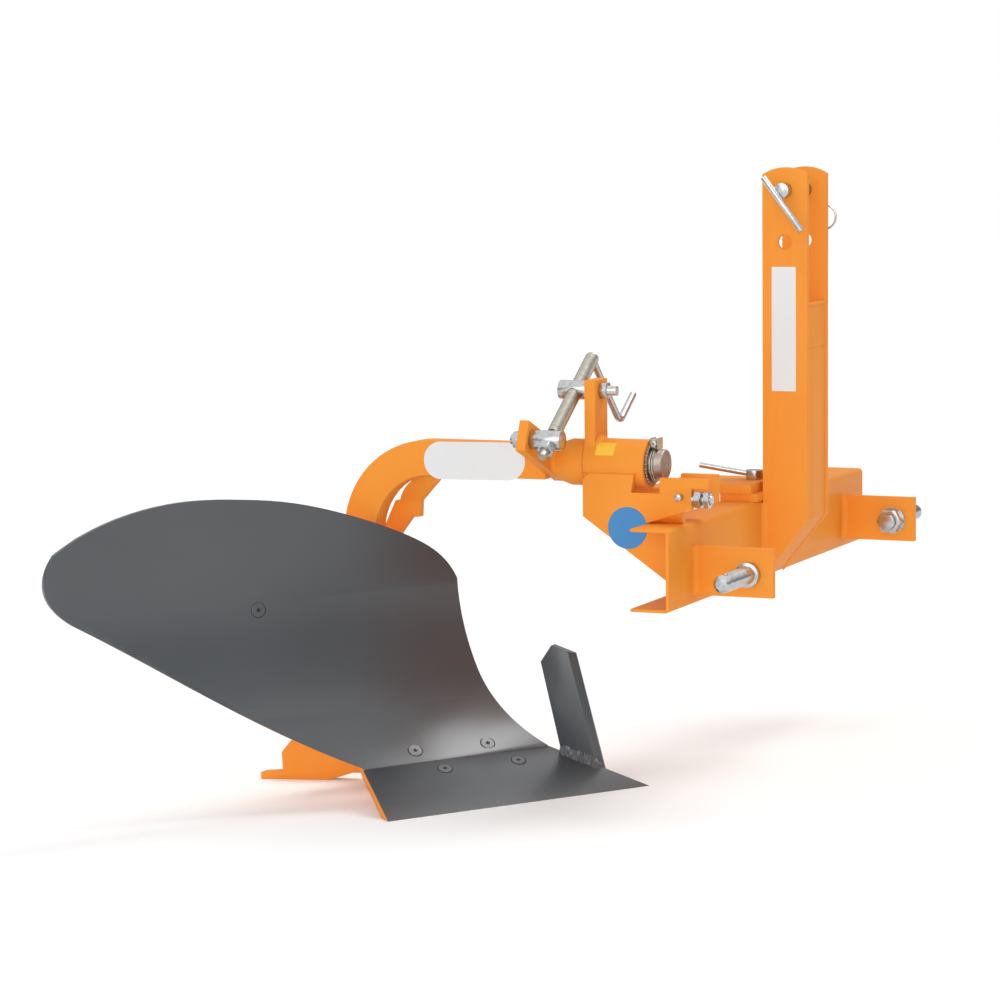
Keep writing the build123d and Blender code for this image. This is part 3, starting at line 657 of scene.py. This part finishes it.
# %% [markdown]
# A hex nut is a hexagon whose corners are cut by a cone at both ends, so that each flat ends in a
# curved scallop. Cutting with a cone could be a boolean. Here the rings of vertices keep the
# hexagon's outline, and each vertex moves in from the end by as much as the cone would cut away
# there, which gives the same curves.

# %% Helper: a hex nut with scalloped corners
NUT_STEPS = 72
NUT_CROWN = 0.97
NUT_SLOPE = tan(radians(30))
NUT_MOUTH = 0.8


def hexagon(angle, apothem):
    """Radius of a hexagon with the given apothem in one direction."""
    return apothem / cos((angle % (pi / 3)) - pi / 6)


def hex_form(form, matrix, across, low, high, bore, steps=NUT_STEPS):
    """Add a hex nut between two heights, with a chamfered bore."""
    apothem = across / 2
    crown = apothem * NUT_CROWN
    rows = []

    def row(radius_at, height_at):
        made = []
        for i in range(steps):
            angle = 2 * pi * i / steps
            radius = radius_at(angle)
            place = Vector((cos(angle) * radius, sin(angle) * radius, height_at(angle))) * MM
            made.append(form.verts.new(matrix @ place))
        rows.append(made)

    def corner(angle):
        return hexagon(angle, apothem)

    def drop(angle):
        return (corner(angle) - crown) * NUT_SLOPE

    row(lambda a: bore, lambda a: low + NUT_MOUTH)
    row(lambda a: bore + NUT_MOUTH, lambda a: low)
    row(lambda a: crown, lambda a: low)
    row(corner, lambda a: low + drop(a))
    row(corner, lambda a: high - drop(a))
    row(lambda a: crown, lambda a: high)
    row(lambda a: bore + NUT_MOUTH, lambda a: high)
    row(lambda a: bore, lambda a: high - NUT_MOUTH)
    ring_rows(form, rows, closed_ends=False)
    for i in range(steps):
        j = (i + 1) % steps
        form.faces.new((rows[-1][i], rows[-1][j], rows[0][j], rows[0][i]))


print("a nut has", 8 * NUT_STEPS, "vertices")

# %% [markdown]
# The two lower hitch pins are held by a washer and a large nut on the inner side of each lug. The
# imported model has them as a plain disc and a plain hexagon.

# %% Hitch nuts and their washers
LUG_HALF = 295.5
LUG_PLATE = 8
for name, side in (("hitch_nut_starboard", -1), ("hitch_nut_port", 1)):
    form = bmesh.new()
    seat = frame_at(head(0, side * (LUG_HALF - LUG_PLATE), 0), PORT * -side)
    turned_form(form, seat, [(10.2, 0), (17.6, 0), (18, 0.4), (18, 2.6), (17.6, 3), (10.2, 3)])
    hex_form(form, seat, 30, 3, 19, 10.1)
    add_piece(name + "_dressed", form, body_of[name], zinc, replaced=name)
print("hitch nuts dressed")

# %% [markdown]
# A screw thread is a groove that winds along a rod. Each ring of vertices stands a little higher
# than the last, and the radius follows a triangle wave of height and angle together, so the crests
# wind round once for each pitch. Six rings to a pitch are enough to catch the light.

# %% Helper: a threaded rod
THREAD_STEPS = 28
THREAD_RINGS = 6


def thread_form(form, matrix, low, high, radius, pitch, depth):
    """Add a threaded cylinder between two heights, its crests following a triangle wave."""
    count = max(2, round((high - low) / pitch * THREAD_RINGS))
    rows = []
    for k in range(count + 1):
        height = low + (high - low) * k / count
        fade = min(1.0, (height - low) / 2, (high - height) / 2)
        row = []
        for i in range(THREAD_STEPS):
            angle = 2 * pi * i / THREAD_STEPS
            wave = abs(((height / pitch - angle / (2 * pi)) % 1) * 2 - 1)
            here = radius - depth * (1 - wave * fade)
            place = Vector((cos(angle) * here, sin(angle) * here, height)) * MM
            row.append(form.verts.new(matrix @ place))
        rows.append(row)
    ring_rows(form, rows)


print("threads have", THREAD_STEPS, "vertices a ring")

# %% [markdown]
# The adjusting screw is a coarse threaded rod. Its lower end is turned down to a smooth neck that
# runs in the lower trunnion and takes the end nut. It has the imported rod's thickness, and stops four
# millimetres short of its top end, where the crank's cap sits.

# %% Threaded adjusting screw
PIVOT_R = 88
PIVOT_TURN = radians(157.7)
ROD_X = -224
upper_pivot = head(ROD_X, BARREL_Y, BARREL_Z + PIVOT_R)
lower_pivot = head(ROD_X, BARREL_Y + PIVOT_R * cos(PIVOT_TURN), BARREL_Z + PIVOT_R * sin(PIVOT_TURN))
rod_way = (upper_pivot - lower_pivot).normalized()
rod_span = (upper_pivot - lower_pivot).length / MM
ROD_BELOW = 32
ROD_ABOVE = 66
NECK_TO = 44
rod_frame = frame_at(lower_pivot - rod_way * ROD_BELOW * MM, rod_way)
rod_length = ROD_BELOW + rod_span + ROD_ABOVE
form = bmesh.new()
turned_form(form, rod_frame, [(4.6, 0), (5.9, 1.3), (5.9, NECK_TO)], steps=32)
thread_form(form, rod_frame, NECK_TO, rod_length - 1.5, 8.95, 3.0, 0.9)
turned_form(form, rod_frame, [(8.1, rod_length - 2.5), (8.1, rod_length - 0.8), (7.3, rod_length)])
add_piece(
    "screw_rod_dressed",
    form,
    body_of["screw_rod"],
    yellow_zinc,
    replaced="screw_rod",
)
print("screw of", round(rod_length), "mm")

# %% [markdown]
# The crank is one bent bar whose end is welded on top of the screw. The weld is ground to a bright
# round cap, a little to the crank's side.

# %% Cap where the crank meets the screw
form = bmesh.new()
crank_way = (PORT * cos(PIVOT_TURN / 2) - RISE * sin(PIVOT_TURN / 2)).normalized()
cap_place = upper_pivot + rod_way * (ROD_ABOVE - 9.0) * MM + crank_way * 2.4 * MM
turned_form(form, frame_at(cap_place, rod_way), [(7.6, 0), (7.9, 3.5)] + dome(7.6, 5.0, 4.6), steps=32)
add_piece("crank_cap", form, body_of["crank"], zinc)
print("cap on the screw")

# %% [markdown]
# The side shift of the beam is held by an adjusting bolt with its lock nut in front of the side
# plate. A plain pin end stands out of the side plate's face beside it.

# %% Adjusting bolt, lock nut and pin end
BOLT_Y = -320
BOLT_Z = 91
bolt_frame = frame_at(head(-62, BOLT_Y, BOLT_Z), FORWARD)
form = bmesh.new()
turned_form(form, bolt_frame, [(5.6, -0.5), (5.6, 24.0), (4.8, 25.2)], steps=32)
hex_form(form, bolt_frame, 19, 3.5, 12.5, 5.8)
hex_form(form, bolt_frame, 19, 16.0, 22.5, 5.8)
add_piece("adjusting_bolt", form, "headstock", zinc)
form = bmesh.new()
pin_frame = frame_at(head(-76, -325, 94), -PORT)
turned_form(form, pin_frame, [(4.4, -1)] + dome(4.4, 9.5, 1.4), steps=32)
add_piece("side_pin_end", form, "headstock", zinc)
print("adjusting bolt at", [round(v, 3) for v in head(-62, BOLT_Y, BOLT_Z)])

# %% [markdown]
# The shaft is kept in the barrel by a toothed lock washer and a small band clamp with a screw. The
# packed band is a plain wide ring. Here it is the thin doubled wire of the real clamp, with its
# screw block on top.

# %% Wire clamp and lock washer
END_FLOAT = 0.8
WASHER_X = TUBE_FRONT + END_FLOAT
form = bmesh.new()
band_frame = frame_at(head(WASHER_X, BARREL_Y, BARREL_Z), FORWARD)
for start in (3.6, 6.4):
    turned_form(
        form,
        band_frame,
        [(18.6, start), (20.4, start), (21.0, start + 0.5), (21.0, start + 1.5), (20.4, start + 2)]
        + [(18.6, start + 2)],
        steps=64,
    )
block_place = head(WASHER_X + 6, BARREL_Y, BARREL_Z + 25.5)
block = bmesh.ops.create_cube(form, size=1.0)["verts"]
for vert in block:
    vert.co = block_place + (
        PORT * vert.co.x * 17 + RISE * vert.co.y * 11 + FORWARD * vert.co.z * 9
    ) * MM
block_edges = [edge for edge in form.edges if all(vert in block for vert in edge.verts)]
bmesh.ops.bevel(form, geom=block_edges, offset=1.6 * MM, segments=2, affect="EDGES", profile=0.5)
screw_frame = frame_at(block_place - PORT * 8 * MM, -PORT)
hex_form(form, screw_frame, 8, 0, 4, 1.0, steps=36)
add_piece(
    "retaining_clamp_dressed",
    form,
    body_of["retaining_clamp"],
    yellow_zinc,
    replaced="retaining_clamp",
)
form = bmesh.new()
TEETH = 30
rows = []
for height, trim in ((0.2, 1.2), (0.2, 0.0), (2.8, 0.0), (2.8, 1.2)):
    row = []
    for i in range(TEETH * 4):
        angle = 2 * pi * i / (TEETH * 4)
        tooth = 1.6 if i % 4 in (0, 1) else 0.0
        radius = 25.9 - tooth - trim
        twist = 0.8 if i % 4 in (2, 3) and height > 1 else 0.0
        place = Vector((cos(angle) * radius, sin(angle) * radius, height + twist - 0.8 * (height > 1)))
        row.append(form.verts.new(band_frame @ (place * MM)))
    rows.append(row)
inner = []
for height in (2.8, 0.2):
    row = []
    for i in range(TEETH * 4):
        angle = 2 * pi * i / (TEETH * 4)
        place = Vector((cos(angle) * 18.6, sin(angle) * 18.6, height - 0.8 * (height > 1)))
        row.append(form.verts.new(band_frame @ (place * MM)))
    inner.append(row)
ring_rows(form, rows + inner + [rows[0]], closed_ends=False)
add_piece(
    "thrust_washer_dressed",
    form,
    body_of["thrust_washer"],
    turned_steel,
    smooth_angle=20,
    replaced="thrust_washer",
)
print("clamp and lock washer on the shaft")

# %% [markdown]
# The linch pin carries a sprung wire ring that snaps over the end of the top link pin. It is a thin
# round wire, made here as a full circle with one short leg to the pin.

# %% Spring ring of the linch pin
RING_RADIUS = 15.5
RING_WIRE = 1.4
form = bmesh.new()
ring_frame = frame_at(head(-20, 53, 418), PORT)
rows = []
for i in range(73):
    turn_at = 2 * pi * i / 72
    row = []
    for j in range(8):
        around = 2 * pi * j / 8
        radius = RING_RADIUS + RING_WIRE * cos(around)
        place = Vector((cos(turn_at) * radius, sin(turn_at) * radius, RING_WIRE * sin(around)))
        row.append(form.verts.new(ring_frame @ (place * MM)))
    rows.append(row)
for low, high in zip(rows, rows[1:]):
    for j in range(8):
        k = (j + 1) % 8
        form.faces.new((low[j], low[k], high[k], high[j]))
bmesh.ops.remove_doubles(form, verts=form.verts, dist=MERGE)
# One short leg of the same wire runs from the ring to the pin.
near = head(-27, 51.5, 432)
far = head(-41, 51, 446)
turned_form(form, frame_at(near, far - near), [(1.1, 0), (1.1, (far - near).length / MM)], steps=8)
add_piece("linch_ring", form, body_of["linch_pin"], zinc)
print("ring of", 2 * RING_RADIUS, "mm")

# %% [markdown]
# The joint between share and mouldboard is packed with paint, so no light shows through it. A thin
# round bead lies just under the surface along the seam.

# %% Packed seam
form = bmesh.new()
SEAM_Q = 98.96
SEAM_UNDER = 48.35
SEAM_LENGTH = 247
seam_frame = frame_at(board(93, SEAM_Q, SEAM_UNDER), -EDGE)
turned_form(form, seam_frame, [(0.9, 0), (0.9, SEAM_LENGTH)], steps=12)
add_piece("seam_packing", form, body_of["share"], paint_slate)
print("seam of", SEAM_LENGTH, "mm")

# %% [markdown]
# Plough bolts have flat heads that sit flush in the plate, so that soil slides over them. Each
# shows as a disc in a fine ring-shaped gap, with a square socket in its middle. Neither is cut:
# the gap and the socket are painted shade, a near-black ring round the head and a near-black square
# on it. The place of each is found by sending a ray back onto the plate, so the heads lie in the
# true curved surface.

# %% Flush plough bolts
# Near-black paint for the ring round each bolt head and for its socket: painted shade.
painted_gap_shade = surface("painted_gap_shade", ((0.010, 0.010, 0.011), (0.018, 0.018, 0.020)), (0.6, 0.8))
HEAD_RADIUS = 8.8
SHADE_RING_WIDTH = 1.0
BOLTS = {
    "mouldboard": ((436, 250), (266, 62), (169, 60)),
    "share": ((240.4, 40.7), (142.3, 39.5)),
}
for name, places in BOLTS.items():
    plate = bmesh.new()
    plate.from_mesh(nodes[name].data)
    tree_of_plate = BVHTree.FromBMesh(plate)
    heads = bmesh.new()
    rims = bmesh.new()
    for s, z in places:
        spot, normal, _, _ = tree_of_plate.ray_cast(board(s, -400, z), BACK)
        seat = frame_at(spot, normal)
        turned_form(
            heads,
            seat,
            [(HEAD_RADIUS, -2.0), (HEAD_RADIUS, 0.25), (HEAD_RADIUS - 0.5, 0.6), (0.1, 0.7)],
            steps=48,
        )
        # The near-black ring in the gap round the head is painted shade.
        turned_form(
            rims,
            seat,
            [(HEAD_RADIUS + 0.1, -1), (HEAD_RADIUS + SHADE_RING_WIDTH, -1), (HEAD_RADIUS + SHADE_RING_WIDTH, 0.16)]
            + [(HEAD_RADIUS + 0.1, 0.16)],
            steps=48,
        )
        # The square socket is painted shade: a near-black square dome on the head, not a hole.
        turned_form(rims, seat, [(3.2, 0.2), (3.2, 0.85), (0.1, 0.9)], steps=4)
    plate.free()
    add_piece(name + "_bolt_heads", heads, body_of[name], paint_slate)
    add_piece(name + "_bolt_shade_rings", rims, body_of[name], painted_gap_shade)
print(sum(len(places) for places in BOLTS.values()), "plough bolts")

# %% [markdown]
# Every joint of the frame is a fillet weld. It fills the corner between two faces with a slightly
# hollow slope, and the torch leaves a fine ripple along it. One helper lays such a bead along any
# path: at each step it gets the corner's place and the two directions along the faces.

# %% Helper: a fillet weld


def weld_form(form, steps, leg, ripple=0.05, hollow=0.36, pitch=2.6, seed=0, rough=0.06):
    """Add a bead through a list of (corner, first direction, second direction)."""
    rows = []
    travelled = 0.0
    total = sum((b[0] - a[0]).length for a, b in zip(steps, steps[1:])) / MM
    before = steps[0][0]
    for corner, first, second in steps:
        travelled += (corner - before).length / MM
        before = corner
        ends = max(0.3, min(1.0, (travelled + 1) / leg, (total - travelled + 1) / leg))
        wave = 1 + ripple * sin(2 * pi * travelled / pitch)
        size = leg * MM * (0.5 + 0.5 * ends) * wave
        inward = -(first + second).normalized() * 0.4 * MM
        row = []
        for share_of in (0.0, 0.25, 0.5, 0.75, 1.0):
            along_first = (1 - share_of) * first + share_of * second
            bulge = 1 - (1 - 2 * hollow) * 4 * share_of * (1 - share_of)
            bulge += rough * noise.noise(Vector((travelled * 0.45, share_of * 2.5, seed * 7.3)))
            row.append(form.verts.new(corner + along_first * size * bulge))
        row.append(form.verts.new(corner + inward))
        rows.append(row)
    ring_rows(form, rows)


def straight(start, end, first, second, step=0.7):
    """Steps of a straight weld between two points."""
    count = max(2, round((end - start).length / MM / step))
    return [(start.lerp(end, i / count), first, second) for i in range(count + 1)]


print("welds are ready to lay")

# %% [markdown]
# On the headstock the lugs and the mast stand on the face of the channel, and the side plates hold
# the tube by two long beads. No two real beads are alike, so most have a seed of their own, which
# places their small lumps. How the side plate's slot is closed can't be seen, so a wide bead stands in.

# %% Welds of the headstock
SIDE_TOP = 119
MAST_HALF = 42
form = bmesh.new()
bead = 0
for side in (-1, 1):
    outer = side * LUG_HALF
    inner = side * (LUG_HALF - LUG_PLATE)
    for y, out in ((outer, PORT * side), (inner, PORT * -side)):
        path = straight(head(CHANNEL_FACE, y, -28), head(CHANNEL_FACE, y, 32), FORWARD, out)
        weld_form(form, path, 7.0, ripple=0.02, hollow=0.26, seed=bead, rough=0.03)
        bead += 1
    y = side * MAST_HALF
    path = straight(head(CHANNEL_FACE, y, -24), head(CHANNEL_FACE, y, 57), FORWARD, PORT * side)
    weld_form(form, path, 6.0, ripple=0.02, seed=bead)
    lug_top = [head(CHANNEL_FACE, side * y, 32) for y in (292, 287.5)]
    path = straight(*lug_top, FORWARD, RISE)
    weld_form(form, path, 5.0, ripple=0.02, seed=bead + 20)
    bead += 1
tube_lean = (BARREL_Z - SIDE_TOP) / TUBE_RADIUS
tube_climb = sqrt(1 - tube_lean**2)
for side in (-1, 1):
    y = BARREL_Y + side * TUBE_RADIUS * tube_climb
    up_tube = PORT * side * tube_lean + RISE * tube_climb
    path = straight(head(-203, y, SIDE_TOP), head(-136, y, SIDE_TOP), PORT * side, up_tube)
    weld_form(form, path, 5.0, ripple=0.04, seed=bead)
    bead += 1
path = straight(head(-197, -315, 82), head(-148, -315, 82), RISE, PORT)
weld_form(form, path, 5.0, seed=bead)
path = straight(head(-202, -259, 82), head(-51, -259, 82), RISE, PORT)
weld_form(form, path, 5.0, seed=bead + 1)
path = straight(head(-75.5, -325, -20), head(-75.5, -325, 54), -FORWARD, -PORT)
weld_form(form, path, 6.0, seed=bead + 2)
# The slot in the side plate is closed by a wide bead on its inner side.
rows = []
for i in range(41):
    t = i / 40
    x = -120.5 + 44 * t
    lip = 60.3 + 14.1 * t
    wave = 0.35 * noise.noise(Vector((x * 0.4, 2.0, 0)))
    section = ((-324.4, lip + 0.1), (-314 + wave, 59.8), (-306, 59.8), (-306, lip + 1))
    rows.append([form.verts.new(head(x, y, z)) for y, z in section])
ring_rows(form, rows)
add_piece("headstock_welds", form, "headstock", paint_orange, smooth_angle=60)
print("headstock welds laid")

# %% [markdown]
# The screw post stands on top of the round tube, so its bead can't be straight. Along each side it
# runs level, and across the front it climbs over the tube, with the height of every step taken from
# the tube's circle.

# %% Welds of the screw post
form = bmesh.new()
POST_HALF = 20.5
POST_FRONT = -191
foot_z = sqrt(TUBE_RADIUS**2 - POST_HALF**2)
for side in (-1, 1):
    down_tube = (PORT * side * foot_z - RISE * POST_HALF) / TUBE_RADIUS
    y = BARREL_Y + side * POST_HALF
    path = straight(
        head(TUBE_REAR, y, BARREL_Z + foot_z),
        head(POST_FRONT, y, BARREL_Z + foot_z),
        RISE,
        down_tube,
    )
    weld_form(form, path, 4.5, seed=bead + side)
steps = []
for i in range(61):
    dy = POST_HALF * (2 * i / 60 - 1)
    on_top = BARREL_Z + sqrt(TUBE_RADIUS**2 - dy**2)
    steps.append((head(POST_FRONT, BARREL_Y + dy, on_top), RISE, FORWARD))
weld_form(form, steps, 4.5, seed=5)
add_piece("post_weld", form, body_of["screw_post"], paint_orange, smooth_angle=60)
print("post welded")

# %% [markdown]
# On the beam the arm is welded between the boss and the bar. The knee plate is welded under the
# bend. The fin's bead on the share is much rougher, and is sprayed slate with the share.

# %% Welds of the beam and the body
form = bmesh.new()
BOSS_LENGTH = 42
BOSS_REAR = TUBE_REAR - END_FLOAT - BOSS_LENGTH
for middle in (PIVOT_TURN, PIVOT_TURN + pi):
    steps = []
    for i in range(49):
        angle = middle + radians(58) * (2 * i / 48 - 1)
        out = PORT * cos(angle) + RISE * sin(angle)
        corner = head(BOSS_REAR, BARREL_Y, BARREL_Z) + out * 22 * MM
        cone = (FORWARD * 20 + out * 6.5).normalized()
        steps.append((corner, cone, out))
    weld_form(form, steps, 5.0, seed=1)
ARM_PLATE = 12
ARM_REAR = BOSS_REAR - ARM_PLATE
for side, low, high in ((-1, 115, 150), (1, 108, 142)):
    y = BARREL_Y + side * 15
    path = straight(head(ARM_REAR, y, low), head(ARM_REAR, y, high), -FORWARD, PORT * side)
    weld_form(form, path, 6.0, seed=2)
KNEE_FACE = (PORT * 30 - RISE * 38.8).normalized()
steps = []
for i in range(41):
    angle = radians(90 + 30 * i / 40)
    z = 32 + 75 * sin(angle)
    y = -285 + (107 - z) / 38.8 * 30
    steps.append((head(-417 + 75 * cos(angle), y, z), -PORT, KNEE_FACE))
weld_form(form, steps, 5.0, seed=3)
add_piece("beam_welds", form, body_of["beam"], paint_orange, smooth_angle=60)
print("beam welds laid")

form = bmesh.new()
fin_low = Vector((HITCH_X - 231, LANDSIDE_Y, 23.4)) * MM
fin_high = Vector((HITCH_X - 286, LANDSIDE_Y, 43.4)) * MM
down_share = Vector((0, -0.947, -0.321))
path = straight(fin_low, fin_high, Vector((0, 0, 1)), down_share, step=0.5)
weld_form(form, path, 8.5, ripple=0.03, hollow=0.42, pitch=3.3, seed=9, rough=0.38)
add_piece("fin_weld", form, body_of["coulter_fin"], paint_slate, smooth_angle=50)
print("fin welded")

# %% [markdown]
# The web between the mast plates is folded over at its top, so it ends in a rounded lip that shows
# as one bright line. A fainter crease crosses it lower down.

# %% Rolled lip of the mast web
WEB_WIDTH = 69.2
WEB_SIDE = -34.6
form = bmesh.new()
lip_frame = frame_at(head(-14.6, WEB_SIDE, 309.5), PORT)
turned_form(form, lip_frame, [(2.6, 0), (2.6, WEB_WIDTH)], steps=24)
crease_frame = frame_at(head(-13.5, WEB_SIDE, 256), PORT)
turned_form(form, crease_frame, [(1.1, 0), (1.1, WEB_WIDTH)], steps=16)
add_piece("web_lip", form, body_of["mast_web"], paint_orange)
print("lip of", WEB_WIDTH, "mm")

# %% [markdown]
# Printed films lie on the paint: a long white plate with round ends on the beam, a blue disc on the
# side plate, a white strip on the mast and a small yellow square on the tube. All are left blank. A
# film is a very thin plate with rounded corners. On the tube it is bent to the tube's curve.

# %% Blank films
SATIN = (0.30, 0.42)
film_white = surface("film_white", ((0.72, 0.72, 0.72), (0.78, 0.78, 0.78)), SATIN, mottle=6)
film_blue = surface("film_blue", ((0.040, 0.22, 0.50), (0.048, 0.25, 0.56)), SATIN, mottle=6)
film_yellow = surface("film_yellow", ((0.86, 0.48, 0.03), (0.92, 0.53, 0.04)), SATIN, mottle=6)
FILM = 0.25
SUNK = -0.1


def film_outline(width, height, corner, steps=10):
    """Points of a rounded rectangle about its middle."""
    points = []
    for cx, cy, start in (
        (width / 2 - corner, height / 2 - corner, 0),
        (-width / 2 + corner, height / 2 - corner, 90),
        (-width / 2 + corner, -height / 2 + corner, 180),
        (width / 2 - corner, -height / 2 + corner, 270),
    ):
        for i in range(steps + 1):
            angle = radians(start + 90 * i / steps)
            points.append((cx + corner * cos(angle), cy + corner * sin(angle)))
    return points


def film_form(outline, place):
    """A thin plate: place(u, v, lift) gives each point."""
    form = bmesh.new()
    low = [form.verts.new(place(u, v, SUNK)) for u, v in outline]
    high = [form.verts.new(place(u, v, FILM)) for u, v in outline]
    ring_rows(form, [low, high])
    return form


def flat_film(name, middle, width, height, corner, body, film, tilt=0.0):
    """A film on an upright face that looks to starboard."""
    c, s = cos(radians(tilt)), sin(radians(tilt))
    x0, y0, z0 = middle

    def place(u, v, lift):
        return head(x0 + u * c - v * s, y0 - lift, z0 + u * s + v * c)

    add_piece(name, film_form(film_outline(width, height, corner), place), body, film)


flat_film("beam_film", (-355, -307, 127.2), 137, 47, 23.4, body_of["beam"], film_white, 0.9)
flat_film("side_film", (-144.3, -325, 54), 51, 51, 25.4, "headstock", film_blue)
flat_film("mast_film", (-42.4, -42, 279), 32, 157.5, 0.8, "headstock", film_white)


def on_tube(u, v, lift):
    """A point of the film that is bent round the tube."""
    angle = radians(139) - v / TUBE_RADIUS
    radius = TUBE_RADIUS + lift
    return head(-176.5 + u, BARREL_Y + radius * cos(angle), BARREL_Z + radius * sin(angle))


FILM_WIDTH, FILM_HEIGHT = 24, 19
GRID = 10
form = bmesh.new()
sheets = []
for lift in (SUNK, FILM):
    sheet = []
    for i in range(GRID + 1):
        line = []
        for j in range(GRID + 1):
            u, v = FILM_WIDTH * (i / GRID - 0.5), FILM_HEIGHT * (j / GRID - 0.5)
            line.append(form.verts.new(on_tube(u, v, lift)))
        sheet.append(line)
    sheets.append(sheet)
for sheet, flip in zip(sheets, (True, False)):
    for i in range(GRID):
        for j in range(GRID):
            patch = (sheet[i][j], sheet[i + 1][j], sheet[i + 1][j + 1], sheet[i][j + 1])
            form.faces.new(tuple(reversed(patch)) if flip else patch)
low, high = sheets
rim = [(i, 0) for i in range(GRID)] + [(GRID, j) for j in range(GRID)]
rim += [(i, GRID) for i in range(GRID, 0, -1)] + [(0, j) for j in range(GRID, 0, -1)]
for (i, j), (m, n) in zip(rim, rim[1:] + rim[:1]):
    form.faces.new((low[i][j], low[m][n], high[m][n], high[i][j]))
add_piece("tube_film", form, body_of["barrel_tube"], film_yellow)
print("four blank films")
